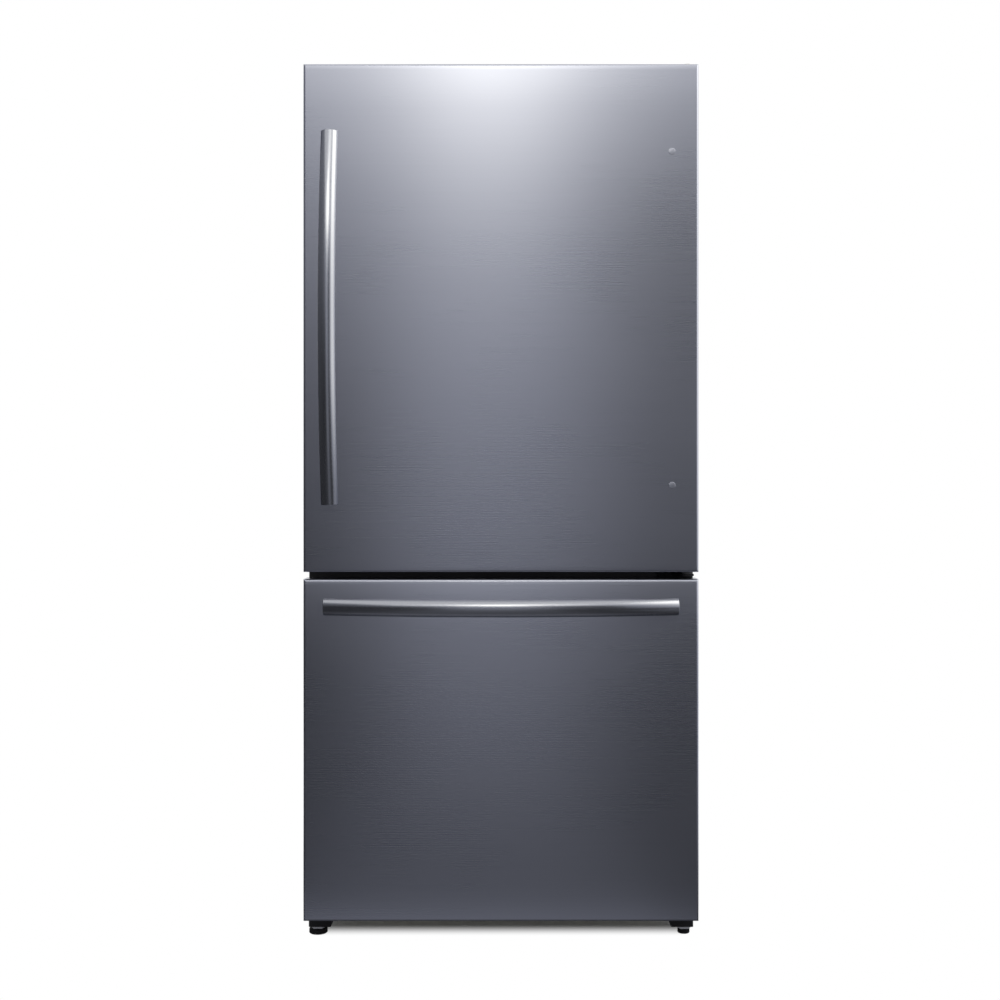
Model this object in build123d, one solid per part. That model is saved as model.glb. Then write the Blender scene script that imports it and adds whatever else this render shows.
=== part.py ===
from build123d import *
import math
import os

# A free-standing bottom freezer refrigerator: one hinged upper door, one pull-out freezer drawer.
# Millimetres. +Z is up, -Y is the front, and the origin is under the middle of the whole object.

# ---- Outside sizes ----
overall_width = 795.0          # across the doors
overall_depth = 730.0          # handle front to back panel
drawer_ground_gap = 48.0       # floor to the drawer front's lower edge
drawer_front_height = 688.0
door_gap = 14.0                # between the drawer front and the upper door
door_height = 1022.0
cabinet_top_drop = 20.0        # cabinet top below the upper door's top
door_overhang = 2.0            # doors wider than the cabinet, each side
cabinet_ground_gap = 30.0      # floor to the underside of the base frame

# ---- Sheets and walls ----
steel = 1.0                    # painted cabinet sheet and door skins
plastic = 2.0                  # vacuum-formed liners
side_wall = 47.5
top_wall = 50.0
back_wall = 63.0
mullion_height = 63.0
freezer_floor_wall = 80.0
front_flange = 22.0            # turned-in steel edge round the cabinet front
liner_flange_lap = 6.0         # how far a liner's edge tucks behind the steel
liner_corner = 10.0
shell_corner = 6.0
base_beam_height = 26.0
base_beam_width = 30.0
base_sheet = 2.0

# ---- Machine compartment at the lower back ----
machine_depth = 270.0
machine_height = 300.0
machine_wall = 40.0            # insulation over and in front of it
machine_cover_sheet = 1.5

# ---- Doors ----
door_thickness = 58.0
door_edge_round = 5.0          # rounded front edges of a door skin
skin_return = 14.0             # folded steel edge over an end cap
end_cap_height = 12.0
gasket_space = 12.0            # door back to cabinet front
gasket_clearance = 0.5
gasket_width = 18.0
gasket_inset = 17.5            # door side edge to the gasket's outer edge
gasket_to_gap = 7.0            # door edge at the gap to the gasket's outer edge
gasket_end_inset = 30.0        # outer top edge of the upper door to the gasket
drawer_gasket_end_inset = 10.0
door_plug_side_gap = 18.0      # cabinet liner's wall to the door liner's raised border
door_plug_depth = 45.0
door_plug_border = 40.0
door_plug_end_inset = 40.0     # upper door's lower edge to the raised border
door_plug_top_inset = 112.0
drawer_plug_side_gap = 23.0
drawer_plug_depth = 28.0
drawer_plug_border = 30.0
drawer_plug_low_inset = 82.0
drawer_plug_top_inset = 46.0
liner_flange_inset = steel     # a liner reaches the inside of its steel face

# ---- Handles ----
handle_projection = 65.0
handle_width = 34.0
handle_thickness = 14.0
handle_edge = 3.5              # straight side of the D section
handle_end_gap = 4.0
handle_post_radius = 6.5
handle_post_inset = 39.5       # bar end to post centre
door_handle_length = 750.0
handle_side_inset = 54.0       # door side edge to the handle's centre
door_handle_centre_height = 510.0   # above the upper door's lower edge
drawer_handle_length = 712.0
drawer_handle_drop = 55.0      # below the drawer front's upper edge
hole_plug_radius = 7.0
hole_plug_height = 2.6
hole_plug_step = 1.2

# ---- Door hinge ----
hinge_inset_x = 19.5           # door side edge to hinge axis
hinge_inset_y = 25.0           # door front to hinge axis
hinge_sheet = 3.0
hinge_sheet_lift = 1.0         # hinge arm above the door
hinge_nose_radius = 11.0
hinge_plate_width = 62.0
hinge_plate_depth = 78.0
top_pin_radius = 4.0
pin_clearance = 0.05
pin_end_gap = 1.5              # pin end to the bottom of its bush
top_bush_radius = 7.0
middle_arm_thickness = 4.0
middle_arm_lift = 5.0          # arm above the drawer front
middle_nose_radius = 13.0
middle_pin_radius = 5.0
middle_bush_radius = 8.0
middle_bush_flange_radius = 11.0
middle_plate_height = 22.0
middle_plate_width = 70.0
middle_arm_width = 39.0         # root of the arm on its upright plate
bush_seat_gap = 0.3
hinge_cover_height = 33.0
hinge_cover_wall = 2.5
hinge_cover_margin = 7.0
hinge_cover_draft = 3.0
hinge_cover_depth = 92.0
screw_radius = 3.0
screw_clearance = 0.3
screw_head_radius = 5.5
screw_head_height = 4.0

# ---- Fresh food compartment ----
shelf_levels = (386.0, 561.0, 736.0)   # shelf tops above the compartment floor
shelf_side_gap = 1.0
shelf_front_setback = 110.0    # cabinet front to shelf front
shelf_back_gap = 32.0          # shelf to the liner's back, which leaves room for the duct
shelf_frame_thickness = 12.0
shelf_rim = 20.0
shelf_front_round = 4.0
glass_thickness = 4.0
glass_lap = 8.0
glass_clearance = 0.3
ledge_width = 10.0
ledge_height = 10.0
seat_gap = 0.3                 # between a loose piece and what carries it
crisper_cover_level = 216.0
crisper_height = 190.0
crisper_middle_gap = 6.0       # between the two crispers
crisper_back_gap = 72.0
crisper_seal_gap = 4.0         # crisper to the door's seal as it swings past
crisper_wall = 2.5
crisper_corner = 14.0
crisper_lean = 12.0            # front leans out from its foot to its rim
crisper_grip = 9.0
duct_width = 150.0
duct_depth = 18.0
duct_wall = 2.0
duct_low = 235.0               # above the compartment floor
duct_top_gap = 14.0
duct_slot_count = 5
duct_slot_height = 9.0
duct_slot_width = 90.0
control_width = 300.0
control_depth = 80.0
control_height = 34.0
control_setback = 50.0         # cabinet front to the control housing
control_lean = 12.0
button_radius = 7.0
button_length = 7.0
button_proud = 2.0
button_travel = 1.5
button_spacing = 60.0
button_gap = 0.3
light_width = 240.0
light_depth = 110.0
light_height = 10.0
light_gap = 14.0

# ---- Door bins ----
bin_wall = 2.5
bin_corner = 12.0
bin_end_gap = 0.5
bin_depth = 100.0
dairy_height = 92.0
dairy_lid_room = 98.0          # dairy bin's rim to the raised border above it
middle_bin_base = 430.0        # heights of the bins above the upper door's lower edge
middle_bin_height = 105.0
lower_bin_base = 95.0
lower_bin_height = 150.0
lid_thickness = 2.5
lid_pivot_radius = 3.0
lid_pivot_rise = 7.0           # above the dairy bin's rim
lid_pivot_setback = 18.0       # behind the bin's door side
lid_rim_gap = 0.5
lid_knuckle_radius = 5.5
lid_lip = 8.0
lid_side_gap = 1.0

# ---- Freezer ----
slide_back_gap = 23.0          # slides and tray to the freezer's back panel
slide_setback = 25.0           # cabinet front to the slide's front end
slide_height = 42.0
slide_width = 12.0
slide_sheet = 1.5
slide_lip = 4.0
slide_play = 0.5
slide_base = 360.0             # slide's underside above the freezer floor
slide_inner_width = 9.5
basket_ledge_width = 15.0
basket_ledge_lift = 6.0        # ledge above the inner rail's underside
basket_wall = 3.0
basket_rim = 3.0
basket_floor_gap = 12.0
basket_front_setback = 25.0    # cabinet front to basket front
basket_back_gap = 3.0          # basket back to the frame's cross bar
basket_step_gap = 11.0
basket_side_gap = 2.0
basket_slot_width = 8.0
basket_slot_count = 15
basket_corner = 10.0
frame_plate_height = 180.0
frame_plate_thickness = 2.5
cross_bar_radius = 3.0
cross_bar_inset = 6.0          # rail end to the cross bar's centre
tray_height = 118.0
tray_top_gap = 28.5            # below the freezer ceiling
tray_wall = 2.5
tray_corner = 14.0
tray_lean = 8.0
tray_side_gap = 23.0
tray_flange_width = 15.0
tray_flange_drop = 50.0        # below the tray's top
tray_flange_thickness = 3.0
tray_runner_gap = 3.0
evaporator_space = 64.0        # panel face to the cavity back
back_panel_sheet = 2.0
back_panel_gap = 0.2
vent_slot_height = 8.0
vent_slot_width = 180.0
vent_slot_count = 4

# ---- Evaporator, condenser and fans ----
tube_sides = 6                 # the coils' tubes are drawn six-sided
evaporator_side_room = 98.0
evaporator_passes = 4
evaporator_fan_room = 40.0     # top of the fins to the fan's throat
evaporator_tube_radius = 4.0
evaporator_fin_count = 8
evaporator_fin_thickness = 1.0
evaporator_fin_depth = 40.0
evaporator_lift = 20.0         # first pass above the step
fan_hub_radius = 12.0
fan_hub_length = 15.0
fan_blade_count = 5
fan_blade_pitch = 38.0
fan_blade_chord = 22.0
fan_blade_camber = 1.2         # blade curve radius over its chord
fan_blade_thickness = 2.0
fan_shaft_radius = 2.5
fan_shaft_clearance = 0.05
fan_tip_gap = 5.0
fan_seat_gap = 0.5
evaporator_fan_radius = 50.0
evaporator_fan_drop = 86.5     # axis below the freezer ceiling
condenser_fan_radius = 66.0
condenser_fan_side = 210.5     # cabinet side to the fan's axis
condenser_fan_height = 93.0    # axis above the base sheet
condenser_fan_depth = 165.0    # shroud in front of the back panel
shroud_side = 180.0
shroud_sheet = 3.0
motor_radius = 17.0
motor_length = 20.0
spoke_width = 7.0
spoke_count = 3
condenser_side = 70.5          # cabinet side to the coil
condenser_length = 275.0
condenser_passes = 4
condenser_pitch = 44.0
condenser_tube_radius = 3.0
condenser_lift = 22.0
condenser_setback = 62.0       # in front of the back panel
condenser_wire_count = 7
condenser_wire = 2.0
condenser_foot_width = 12.0
condenser_foot_wire = 1        # the wire, counted from each end, that stands on a foot
compressor_side = 190.5        # cabinet side to the compressor's axis
compressor_setback = 140.0     # axis in front of the back panel
compressor_radius = 86.0
compressor_height = 160.0
compressor_crown = 48.0
compressor_seam = 4.0
compressor_sides = 20
compressor_stub_length = 20.0  # beyond the shell
terminal_box_reach = 28.0      # beyond the shell
terminal_box_width = 60.0
terminal_box_height = 56.0
compressor_plate_length = 232.0
compressor_plate_width = 150.0
grommet_radius = 12.0
grommet_height = 9.0
louvre_rows = 7
louvre_columns = 4
louvre_width = 130.0
louvre_height = 9.0
louvre_row_pitch = 24.0
louvre_column_pitch = 165.0
louvre_base = 60.0
inlet_side = 95.5              # cabinet side to the inlet's middle
inlet_width = 48.0
inlet_height = 34.0
inlet_depth = 16.0
inlet_wall = 3.0
inlet_flange = 6.0
inlet_rise = 268.0             # above the base frame's underside

# ---- Feet and rollers ----
foot_side = 17.5               # cabinet side to the foot's axis
foot_setback = 12.0            # cabinet front to the foot's axis
left_pad_radius = 19.0
right_pad_radius = 12.5
pad_height = 11.5
foot_nut_height = 5.5
foot_nut_across = 29.0
foot_stud_radius = 5.0
foot_stud_clearance = 0.05
foot_stud_top = 50.0
bracket_width = 46.0
bracket_front = 10.0           # in front of the cabinet
bracket_back = 34.0            # behind the cabinet front
bracket_lip = 14.0
bracket_nut_gap = 0.5
roller_side = 55.5             # cabinet side to the roller's middle
roller_setback = 35.0
roller_radius = 13.0
roller_width = 22.0
roller_side_gap = 1.0
roller_pin_radius = 3.0
roller_sheet = 2.0
roller_bracket_depth = 34.0

# ---- Places worked out from the sizes above ----
through = 1.0                  # how far a cutting solid runs past the face it cuts
half_width = overall_width / 2
front_y = -overall_depth / 2
back_y = overall_depth / 2
door_front = front_y + handle_projection
door_back = door_front + door_thickness
cabinet_front = door_back + gasket_space
cabinet_half = half_width - door_overhang
drawer_bottom = drawer_ground_gap
drawer_top = drawer_bottom + drawer_front_height
door_bottom = drawer_top + door_gap
door_top = door_bottom + door_height
cabinet_bottom = cabinet_ground_gap
cabinet_top = door_top - cabinet_top_drop
gap_middle = (drawer_top + door_bottom) / 2
mullion_low = gap_middle - mullion_height / 2
mullion_high = gap_middle + mullion_height / 2
cavity_half = cabinet_half - side_wall
cavity_back = back_y - back_wall
fridge_floor = mullion_high
fridge_ceiling = cabinet_top - top_wall
freezer_floor = cabinet_bottom + freezer_floor_wall
freezer_ceiling = mullion_low
machine_front = back_y - machine_depth
machine_top = cabinet_bottom + machine_height
step_front = machine_front - machine_wall
step_top = machine_top + machine_wall
liner_front = cabinet_front + steel
foam_front = liner_front + plastic
foam_back = back_y - steel
base_top = cabinet_bottom + base_beam_height
base_floor = cabinet_bottom + base_sheet
hinge_x = half_width - hinge_inset_x
hinge_y = door_front + hinge_inset_y
flange_half = cabinet_half - front_flange
door_plug_half = cavity_half - door_plug_side_gap
drawer_plug_half = cavity_half - drawer_plug_side_gap
door_handle_offset = half_width - handle_side_inset
door_handle_z = door_bottom + door_handle_centre_height
drawer_handle_z = drawer_top - drawer_handle_drop
handle_bow = handle_projection - handle_thickness - handle_end_gap
shelf_front = cabinet_front + shelf_front_setback
shelf_half = cavity_half - shelf_side_gap
shelf_depth = cavity_back - shelf_back_gap - shelf_front
crisper_depth = cavity_back - crisper_back_gap - shelf_front
seal_reach_x = half_width - gasket_inset - gasket_width - hinge_x
seal_reach_y = cabinet_front - gasket_clearance - hinge_y
crisper_far = hinge_x - math.hypot(seal_reach_x, seal_reach_y) - crisper_seal_gap
dairy_base = door_height - door_plug_top_inset - door_plug_border - dairy_lid_room - dairy_height
slide_front = cabinet_front + slide_setback
slide_low = freezer_floor + slide_base
slide_high = slide_low + slide_height
panel_face = cavity_back - evaporator_space
slide_length = panel_face - slide_back_gap - slide_front
tray_half = cavity_half - tray_side_gap
evaporator_half = cavity_half - evaporator_side_room
evaporator_first = step_top + evaporator_lift
evaporator_fan_z = freezer_ceiling - evaporator_fan_drop
evaporator_top = evaporator_fan_z - evaporator_fan_radius - fan_tip_gap - evaporator_fan_room
evaporator_pitch = (evaporator_top - evaporator_first) / (evaporator_passes - 0.5)
condenser_fan_x = cabinet_half - condenser_fan_side
condenser_right = cabinet_half - condenser_side
condenser_left = condenser_right - condenser_length
compressor_x = compressor_side - cabinet_half
inlet_x = inlet_side - cabinet_half
foot_x = cabinet_half - foot_side
foot_y = cabinet_front + foot_setback
roller_x = cabinet_half - roller_side
roller_y = back_y - roller_setback
bracket_low = pad_height + foot_nut_height + bracket_nut_gap


# ---- Shapes used by many pieces ----
def block(x_span, y_span, z_span):
    """A rectangular solid between two corners."""
    spans = (x_span, y_span, z_span)
    size = [high - low for low, high in spans]
    centre = [(high + low) / 2 for low, high in spans]
    return Pos(*centre) * Box(*size)


def about(middle, size):
    """The span of a given size about a middle."""
    return (middle - size / 2, middle + size / 2)


def rod(start, direction, radius, length):
    """A round bar that starts at a point and runs along a direction."""
    return Plane(origin=start, z_dir=direction) * Pos(0, 0, length / 2) * Cylinder(radius, length)


def pair(solid):
    """A solid and its mirror image across the middle plane."""
    return [solid, mirror(solid, about=Plane.YZ)]


def ring(x_half, z_span, y_span, border):
    """An upright rectangular frame, open in the middle, with one border width all round."""
    hole_z = (z_span[0] + border, z_span[1] - border)
    hole_y = (y_span[0] - through, y_span[1] + through)
    hole_half = x_half - border
    return block((-x_half, x_half), y_span, z_span) - block((-hole_half, hole_half), hole_y, hole_z)


def tub(x_span, y_span, z_span, wall, corner, lean):
    """An open-topped moulded tub with rounded upright corners and a front that leans outward."""
    low, high = z_span
    front, back = y_span
    middle = sum(x_span) / 2
    half = (x_span[1] - x_span[0]) / 2
    outline = [(front + lean, low), (back, low), (back, high), (front, high)]
    body = extrude(Plane.YZ.offset(middle) * Polygon(*outline, align=None), half, both=True)
    body = fillet([edge for edge in body.edges() if abs(edge.tangent_at(0.5).Z) > 0.5], corner)
    slope = lean / (high - low)
    over = high + through
    foot = front + lean + wall - slope * wall
    outline = [(foot, low + wall), (back - wall, low + wall), (back - wall, over)]
    outline.append((foot - slope * (over - low - wall), over))
    hollow = extrude(Plane.YZ.offset(middle) * Polygon(*outline, align=None), half - wall, both=True)
    upright = [edge for edge in hollow.edges() if abs(edge.tangent_at(0.5).Z) > 0.5]
    return body - fillet(upright, corner - wall)


def front_edges(solid):
    """The edges round a solid's front face."""
    return solid.faces().sort_by(Axis.Y)[0].edges()


def door_core(z_span, sheet):
    """The block that a door skin wraps, with the same rounded front edges less the sheet."""
    side = half_width - sheet
    body = block((-side, side), (door_front + sheet, door_back), (z_span[0] + sheet, z_span[1] - sheet))
    return fillet(front_edges(body), door_edge_round - sheet)


def serpentine(x_span, first_z, pitch, passes, y, radius):
    """A tube that runs back and forth across the object and climbs at each end."""
    points = []
    for number in range(passes):
        ends = x_span if number % 2 == 0 else x_span[::-1]
        points += [(x, y, first_z + number * pitch) for x in ends]
    path = FilletPolyline(*points, radius=pitch / 2 - through / 2)
    section = Plane(origin=path @ 0, x_dir=(0, 1, 0), z_dir=path % 0) * Rot(0, 0, 360 / tube_sides / 2)
    section *= RegularPolygon(radius, tube_sides)
    return sweep(section, path=path)


def fan_blade(tip_radius):
    """A cambered blade: a curved sheet set at its pitch, from inside the hub out to the tip."""
    curve = fan_blade_chord * fan_blade_camber
    band = Circle(curve + fan_blade_thickness / 2) - Circle(curve - fan_blade_thickness / 2)
    section = Pos(0, -curve) * (band & Pos(0, curve) * Rectangle(fan_blade_chord, curve))
    root = fan_hub_radius - 2 * through
    plane = Plane(origin=(root, 0, 0), x_dir=(0, 1, 0), z_dir=(1, 0, 0))
    return extrude(plane * Rot(0, 0, fan_blade_pitch) * section, tip_radius - root)


def fan(centre, tip_radius):
    """A fan wheel about a front-to-back axis, with cambered blades on a bored hub."""
    wheel = Cylinder(fan_hub_radius, fan_hub_length)
    for number in range(fan_blade_count):
        wheel += Rot(0, 0, number * 360 / fan_blade_count) * fan_blade(tip_radius)
    wheel &= Cylinder(tip_radius, fan_hub_length)
    wheel -= Cylinder(fan_shaft_radius + fan_shaft_clearance, 2 * fan_hub_length)
    return Pos(*centre) * Rot(90, 0, 0) * wheel


def fan_mount(centre, opening_radius, sheet, direction):
    """A motor on spokes across a round opening, with the shaft that carries a fan."""
    x, y, z = centre
    face = y + direction * sheet / 2
    mount = rod((x, y - sheet / 2, z), (0, 1, 0), motor_radius, sheet)
    for number in range(spoke_count):
        arm = block((0, opening_radius + through), about(0, sheet), about(0, spoke_width))
        mount += Pos(x, y, z) * Rot(0, 90 + number * 360 / spoke_count, 0) * arm
    mount += rod((x, face, z), (0, direction, 0), motor_radius, motor_length)
    reach = motor_length + fan_seat_gap + fan_hub_length
    mount += rod((x, face, z), (0, direction, 0), fan_shaft_radius, reach)
    return mount


# ---- Cabinet ----
def cabinet_shell():
    """Painted steel wrap: two sides and a top, with a turned-in front edge."""
    outer = block((-cabinet_half, cabinet_half), (cabinet_front, foam_back), (cabinet_bottom, cabinet_top))
    outer = fillet(outer.edges().filter_by(Axis.Y).group_by(Axis.Z)[-1], shell_corner)
    inner_half = cabinet_half - steel
    inner_y = (cabinet_front + steel, back_y)
    inner_z = (cabinet_bottom - through, cabinet_top - steel)
    inner = block((-inner_half, inner_half), inner_y, inner_z)
    inner = fillet(inner.edges().filter_by(Axis.Y).group_by(Axis.Z)[-1], shell_corner - steel)
    mouth_z = (cabinet_bottom - through, cabinet_top - front_flange)
    mouth = block((-flange_half, flange_half), about(cabinet_front, 4 * steel), mouth_z)
    return [outer - inner - mouth]


def cabinet_back_panel():
    """Flat steel back above the machine compartment."""
    panel = block((-cabinet_half, cabinet_half), (foam_back, back_y), (machine_top, cabinet_top))
    return [fillet(panel.edges().filter_by(Axis.Y).group_by(Axis.Z)[-1], shell_corner)]


def insulation():
    """Rigid foam walls between the steel and the liners, one slab for each wall."""
    outside = cabinet_half - steel
    inside = cavity_half + plastic
    inner = (-inside, inside)
    side_back = foam_back - machine_cover_sheet
    side = block((inside, outside), (foam_front, side_back), (base_top, cabinet_top - steel))
    corner = side.edges().filter_by(Axis.Y).sort_by(lambda edge: edge.center().X + edge.center().Z)[-1]
    side = fillet(corner, shell_corner - steel)
    liner_back = cavity_back + plastic
    slabs = pair(side)
    slabs.append(block(inner, (foam_front, foam_back), (fridge_ceiling + plastic, cabinet_top - steel)))
    slabs.append(block(inner, (liner_back, foam_back), (machine_top, fridge_ceiling + plastic)))
    slabs.append(block(inner, (foam_front, liner_back), (mullion_low + plastic, mullion_high - plastic)))
    slabs.append(block(inner, (foam_front, step_front + plastic), (base_top, freezer_floor - plastic)))
    riser = block(inner, (step_front + plastic, machine_front), (base_top, step_top - plastic))
    step_edge = riser.faces().sort_by(Axis.Y)[0].edges().sort_by(Axis.Z)[-1]
    slabs.append(fillet(step_edge, liner_corner))
    slabs.append(block(inner, (machine_front, liner_back), (machine_top, step_top - plastic)))
    return slabs


def shelf_ledge(top, length):
    """A moulded ledge on the right-hand liner wall that carries a shelf."""
    ledge_x = (cavity_half - ledge_width, cavity_half + plastic / 2)
    front = shelf_front + shelf_rim / 2
    body = block(ledge_x, (front, front + length), (top - ledge_height, top))
    inner = body.edges().filter_by(Axis.Y).sort_by(lambda edge: edge.center().X + edge.center().Z)[0]
    return chamfer(inner, ledge_height / 2)


def shelf_heights():
    """The top heights of the shelves, lowest first."""
    return [fridge_floor + level for level in shelf_levels]


def fridge_liner():
    """Vacuum-formed fresh food liner: a rounded cavity with a front flange and shelf ledges."""
    outside = cavity_half + plastic
    outer_z = (fridge_floor - plastic, fridge_ceiling + plastic)
    outer = block((-outside, outside), (liner_front, cavity_back + plastic), outer_z)
    outer = fillet(outer.edges().filter_by(Axis.Y), liner_corner + plastic)
    inner_y = (liner_front - through, cavity_back)
    inner = block((-cavity_half, cavity_half), inner_y, (fridge_floor, fridge_ceiling))
    inner = fillet(inner.edges().filter_by(Axis.Y), liner_corner)
    lap_half = flange_half + liner_flange_lap
    lap_z = (fridge_floor - 2 * liner_flange_lap, cabinet_top - front_flange + liner_flange_lap)
    flange = block((-lap_half, lap_half), (liner_front, foam_front), lap_z)
    liner = outer + flange - inner
    length = shelf_depth - shelf_rim
    for top in shelf_heights() + [fridge_floor + crisper_cover_level]:
        for ledge in pair(shelf_ledge(top - shelf_frame_thickness - seat_gap, length)):
            liner += ledge
    return [liner]


def freezer_section(offset):
    """The freezer's side outline, stepped over the machine compartment, grown by an offset."""
    back = cavity_back + offset
    low = freezer_floor - offset
    high = freezer_ceiling + offset
    front = liner_front
    points = [(front, low), (step_front + offset, low), (step_front + offset, step_top - offset)]
    points += [(back, step_top - offset), (back, high), (front, high)]
    outline = Plane.YZ * Polygon(*points, align=None)
    return fillet(outline.vertices().filter_by(lambda v: v.Y > front + through), liner_corner)


def freezer_liner():
    """Vacuum-formed freezer liner with its step, front flange and two tray runners."""
    outer = extrude(freezer_section(plastic), cavity_half + plastic, both=True)
    inner = extrude(freezer_section(0), cavity_half, both=True)
    lap_half = flange_half + liner_flange_lap
    lap_z = (freezer_floor - 2 * liner_flange_lap, freezer_ceiling + 2 * liner_flange_lap)
    flange = block((-lap_half, lap_half), (liner_front, foam_front), lap_z)
    liner = outer + flange - inner
    runner_top = tray_top() - tray_flange_drop - seat_gap
    runner_x = (tray_half + tray_runner_gap, cavity_half + plastic / 2)
    runner_y = (slide_front, slide_front + slide_length)
    for runner in pair(block(runner_x, runner_y, (runner_top - ledge_height, runner_top))):
        liner += runner
    return [liner]


def front_cross_rails():
    """Painted steel strips across the cabinet front: at the mullion and below the freezer."""
    across = (-flange_half, flange_half)
    thickness = (cabinet_front, liner_front)
    mullion = block(across, thickness, (mullion_low, mullion_high))
    lower = block(across, thickness, (cabinet_bottom, freezer_floor))
    return [mullion, lower]


def base_frame():
    """Pressed steel base: channel rails, a box beam at the front and a floor for the machinery."""
    half = cabinet_half - steel
    back = foam_back - machine_cover_sheet
    frame = block((-half, half), (liner_front, back), (cabinet_bottom, base_top))
    rail_inner = half - base_beam_width
    beam_back = liner_front + base_beam_width
    open_z = (cabinet_bottom - through, base_top + through)
    frame -= block((-rail_inner, rail_inner), (beam_back, back + through), open_z)
    hollow_z = (base_floor, base_top - base_sheet)
    rail_x = (rail_inner - through, half - base_sheet)
    for channel in pair(block(rail_x, (beam_back + base_sheet, back + through), hollow_z)):
        frame -= channel
    beam_hollow = (liner_front + base_sheet, beam_back - base_sheet)
    frame -= block((-half + base_sheet, half - base_sheet), beam_hollow, hollow_z)
    frame += block((-rail_inner, rail_inner), (machine_front, back), (cabinet_bottom, base_floor))
    for side in (-foot_x, foot_x):
        stud_hole = foot_stud_radius + 2 * through
        frame -= rod((side, foot_y, cabinet_bottom - through), (0, 0, 1), stud_hole, 4 * base_sheet)
    return [frame]


def machine_cover():
    """Rear cover of the machine compartment with rows of louvre slots and the inlet's cut-out."""
    half = cabinet_half - steel - seat_gap
    cover_y = (foam_back - machine_cover_sheet, foam_back)
    cover = block((-half, half), cover_y, (cabinet_bottom, machine_top - seat_gap))
    cut_y = (cover_y[0] - through, cover_y[1] + through)
    first = -louvre_column_pitch * (louvre_columns - 1) / 2
    for column in range(louvre_columns):
        for row in range(louvre_rows):
            low = cabinet_bottom + louvre_base + row * louvre_row_pitch
            slot_x = about(first + column * louvre_column_pitch, louvre_width)
            cover -= block(slot_x, cut_y, (low, low + louvre_height))
    opening_x = about(inlet_x, inlet_width)
    cover -= block(opening_x, cut_y, about(cabinet_bottom + inlet_rise, inlet_height))
    return [cover]


def power_inlet():
    """Flanged appliance inlet set in the rear cover, with its recess and three blades."""
    z = cabinet_bottom + inlet_rise
    body_x = about(inlet_x, inlet_width)
    body_y = (foam_back - inlet_depth, foam_back)
    inlet = block(body_x, body_y, about(z, inlet_height))
    flange_x = about(inlet_x, inlet_width + 2 * inlet_flange)
    inlet += block(flange_x, (foam_back, back_y), about(z, inlet_height + 2 * inlet_flange))
    recess_x = about(inlet_x, inlet_width - 2 * inlet_wall)
    recess_y = (foam_back - inlet_depth + inlet_wall, back_y + through)
    inlet -= block(recess_x, recess_y, about(z, inlet_height - 2 * inlet_wall))
    blade_y = (recess_y[0], foam_back - inlet_wall)
    for step in (-1, 0, 1):
        blade_x = about(inlet_x + step * inlet_width / 4, 2 * steel)
        blade_z = about(z + (1 - abs(step)) * inlet_height / 8, inlet_height / 4)
        inlet += block(blade_x, blade_y, blade_z)
    return [inlet]


# ---- Machinery ----
def compressor_dome():
    """The compressor's shell in stacked rings: a drawn-in foot, a weld seam and a domed top."""
    radius = compressor_radius
    crown = compressor_crown
    height = compressor_height
    seam_low = (height - compressor_seam) / 2
    rings = [(0, radius - crown / 2), (crown / 2, radius), (height - crown, radius)]
    for step in (1, 2):
        turn = math.radians(30 * step)
        rings.append((height - crown * (1 - math.sin(turn)), radius - crown * (1 - math.cos(turn))))
    rings.append((height, radius - crown))
    seam = extrude(RegularPolygon(radius + compressor_seam, compressor_sides), compressor_seam)
    shell = Pos(0, 0, seam_low) * seam
    for (low, wide), (high, narrow) in zip(rings, rings[1:]):
        lean = math.degrees(math.atan2(wide - narrow, high - low))
        section = RegularPolygon(wide, compressor_sides, major_radius=False)
        shell += Pos(0, 0, low) * extrude(section, high - low, taper=lean)
    return shell


def compressor():
    """Domed compressor shell with a weld seam, terminal box, pipe stubs, base plate and grommets."""
    y = back_y - compressor_setback
    plate_low = base_floor + grommet_height
    plate_top = plate_low + hinge_sheet
    body = Pos(compressor_x, y, plate_top) * compressor_dome()
    side = compressor_x + compressor_radius
    terminal_z = about(plate_top + compressor_height * 0.4, terminal_box_height)
    terminal_x = about(side, 2 * terminal_box_reach)
    body += block(terminal_x, about(y, terminal_box_width), terminal_z)
    stub_start = plate_top + compressor_height * 0.72
    for angle in (110, 150):
        turn = math.radians(angle)
        start = (compressor_x, y, stub_start)
        body += rod(start, (math.cos(turn), math.sin(turn), 0), 2 * evaporator_tube_radius,
                    compressor_radius + compressor_stub_length)
    plate = RectangleRounded(compressor_plate_length, compressor_plate_width, grommet_radius)
    body += Pos(compressor_x, y, plate_low) * extrude(plate, hinge_sheet)
    for dx in (-1, 1):
        for dy in (-1, 1):
            grommet_x = compressor_x + dx * (compressor_plate_length / 2 - grommet_radius)
            grommet_y = y + dy * (compressor_plate_width / 2 - grommet_radius)
            body += rod((grommet_x, grommet_y, base_floor), (0, 0, 1), grommet_radius, grommet_height)
    return [body]


def condenser_coil():
    """Wire-on-tube condenser: a serpentine with upright wires and two feet on the base sheet."""
    y = back_y - condenser_setback
    first = base_floor + condenser_lift
    coil = serpentine((condenser_left, condenser_right), first, condenser_pitch, condenser_passes, y,
                      condenser_tube_radius)
    climb = condenser_pitch * (condenser_passes - 1)
    low = first - 2 * condenser_tube_radius
    inset = condenser_pitch
    spread = (condenser_right - condenser_left - 2 * inset) / (condenser_wire_count - 1)
    for number in range(condenser_wire_count):
        wire_x = condenser_left + inset + number * spread
        wire_y = about(y + condenser_tube_radius, condenser_wire)
        coil += block(about(wire_x, condenser_wire), wire_y, (low, low + climb + 4 * condenser_tube_radius))
    for wire in (condenser_foot_wire, condenser_wire_count - 1 - condenser_foot_wire):
        foot_middle = condenser_left + inset + wire * spread
        foot_x_span = about(foot_middle, condenser_foot_width)
        coil += block(foot_x_span, about(y, 2 * steel), (base_floor, first + climb))
        coil += block(foot_x_span, about(y, 3 * condenser_foot_width), (base_floor, base_floor + steel))
    return [coil]


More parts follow.
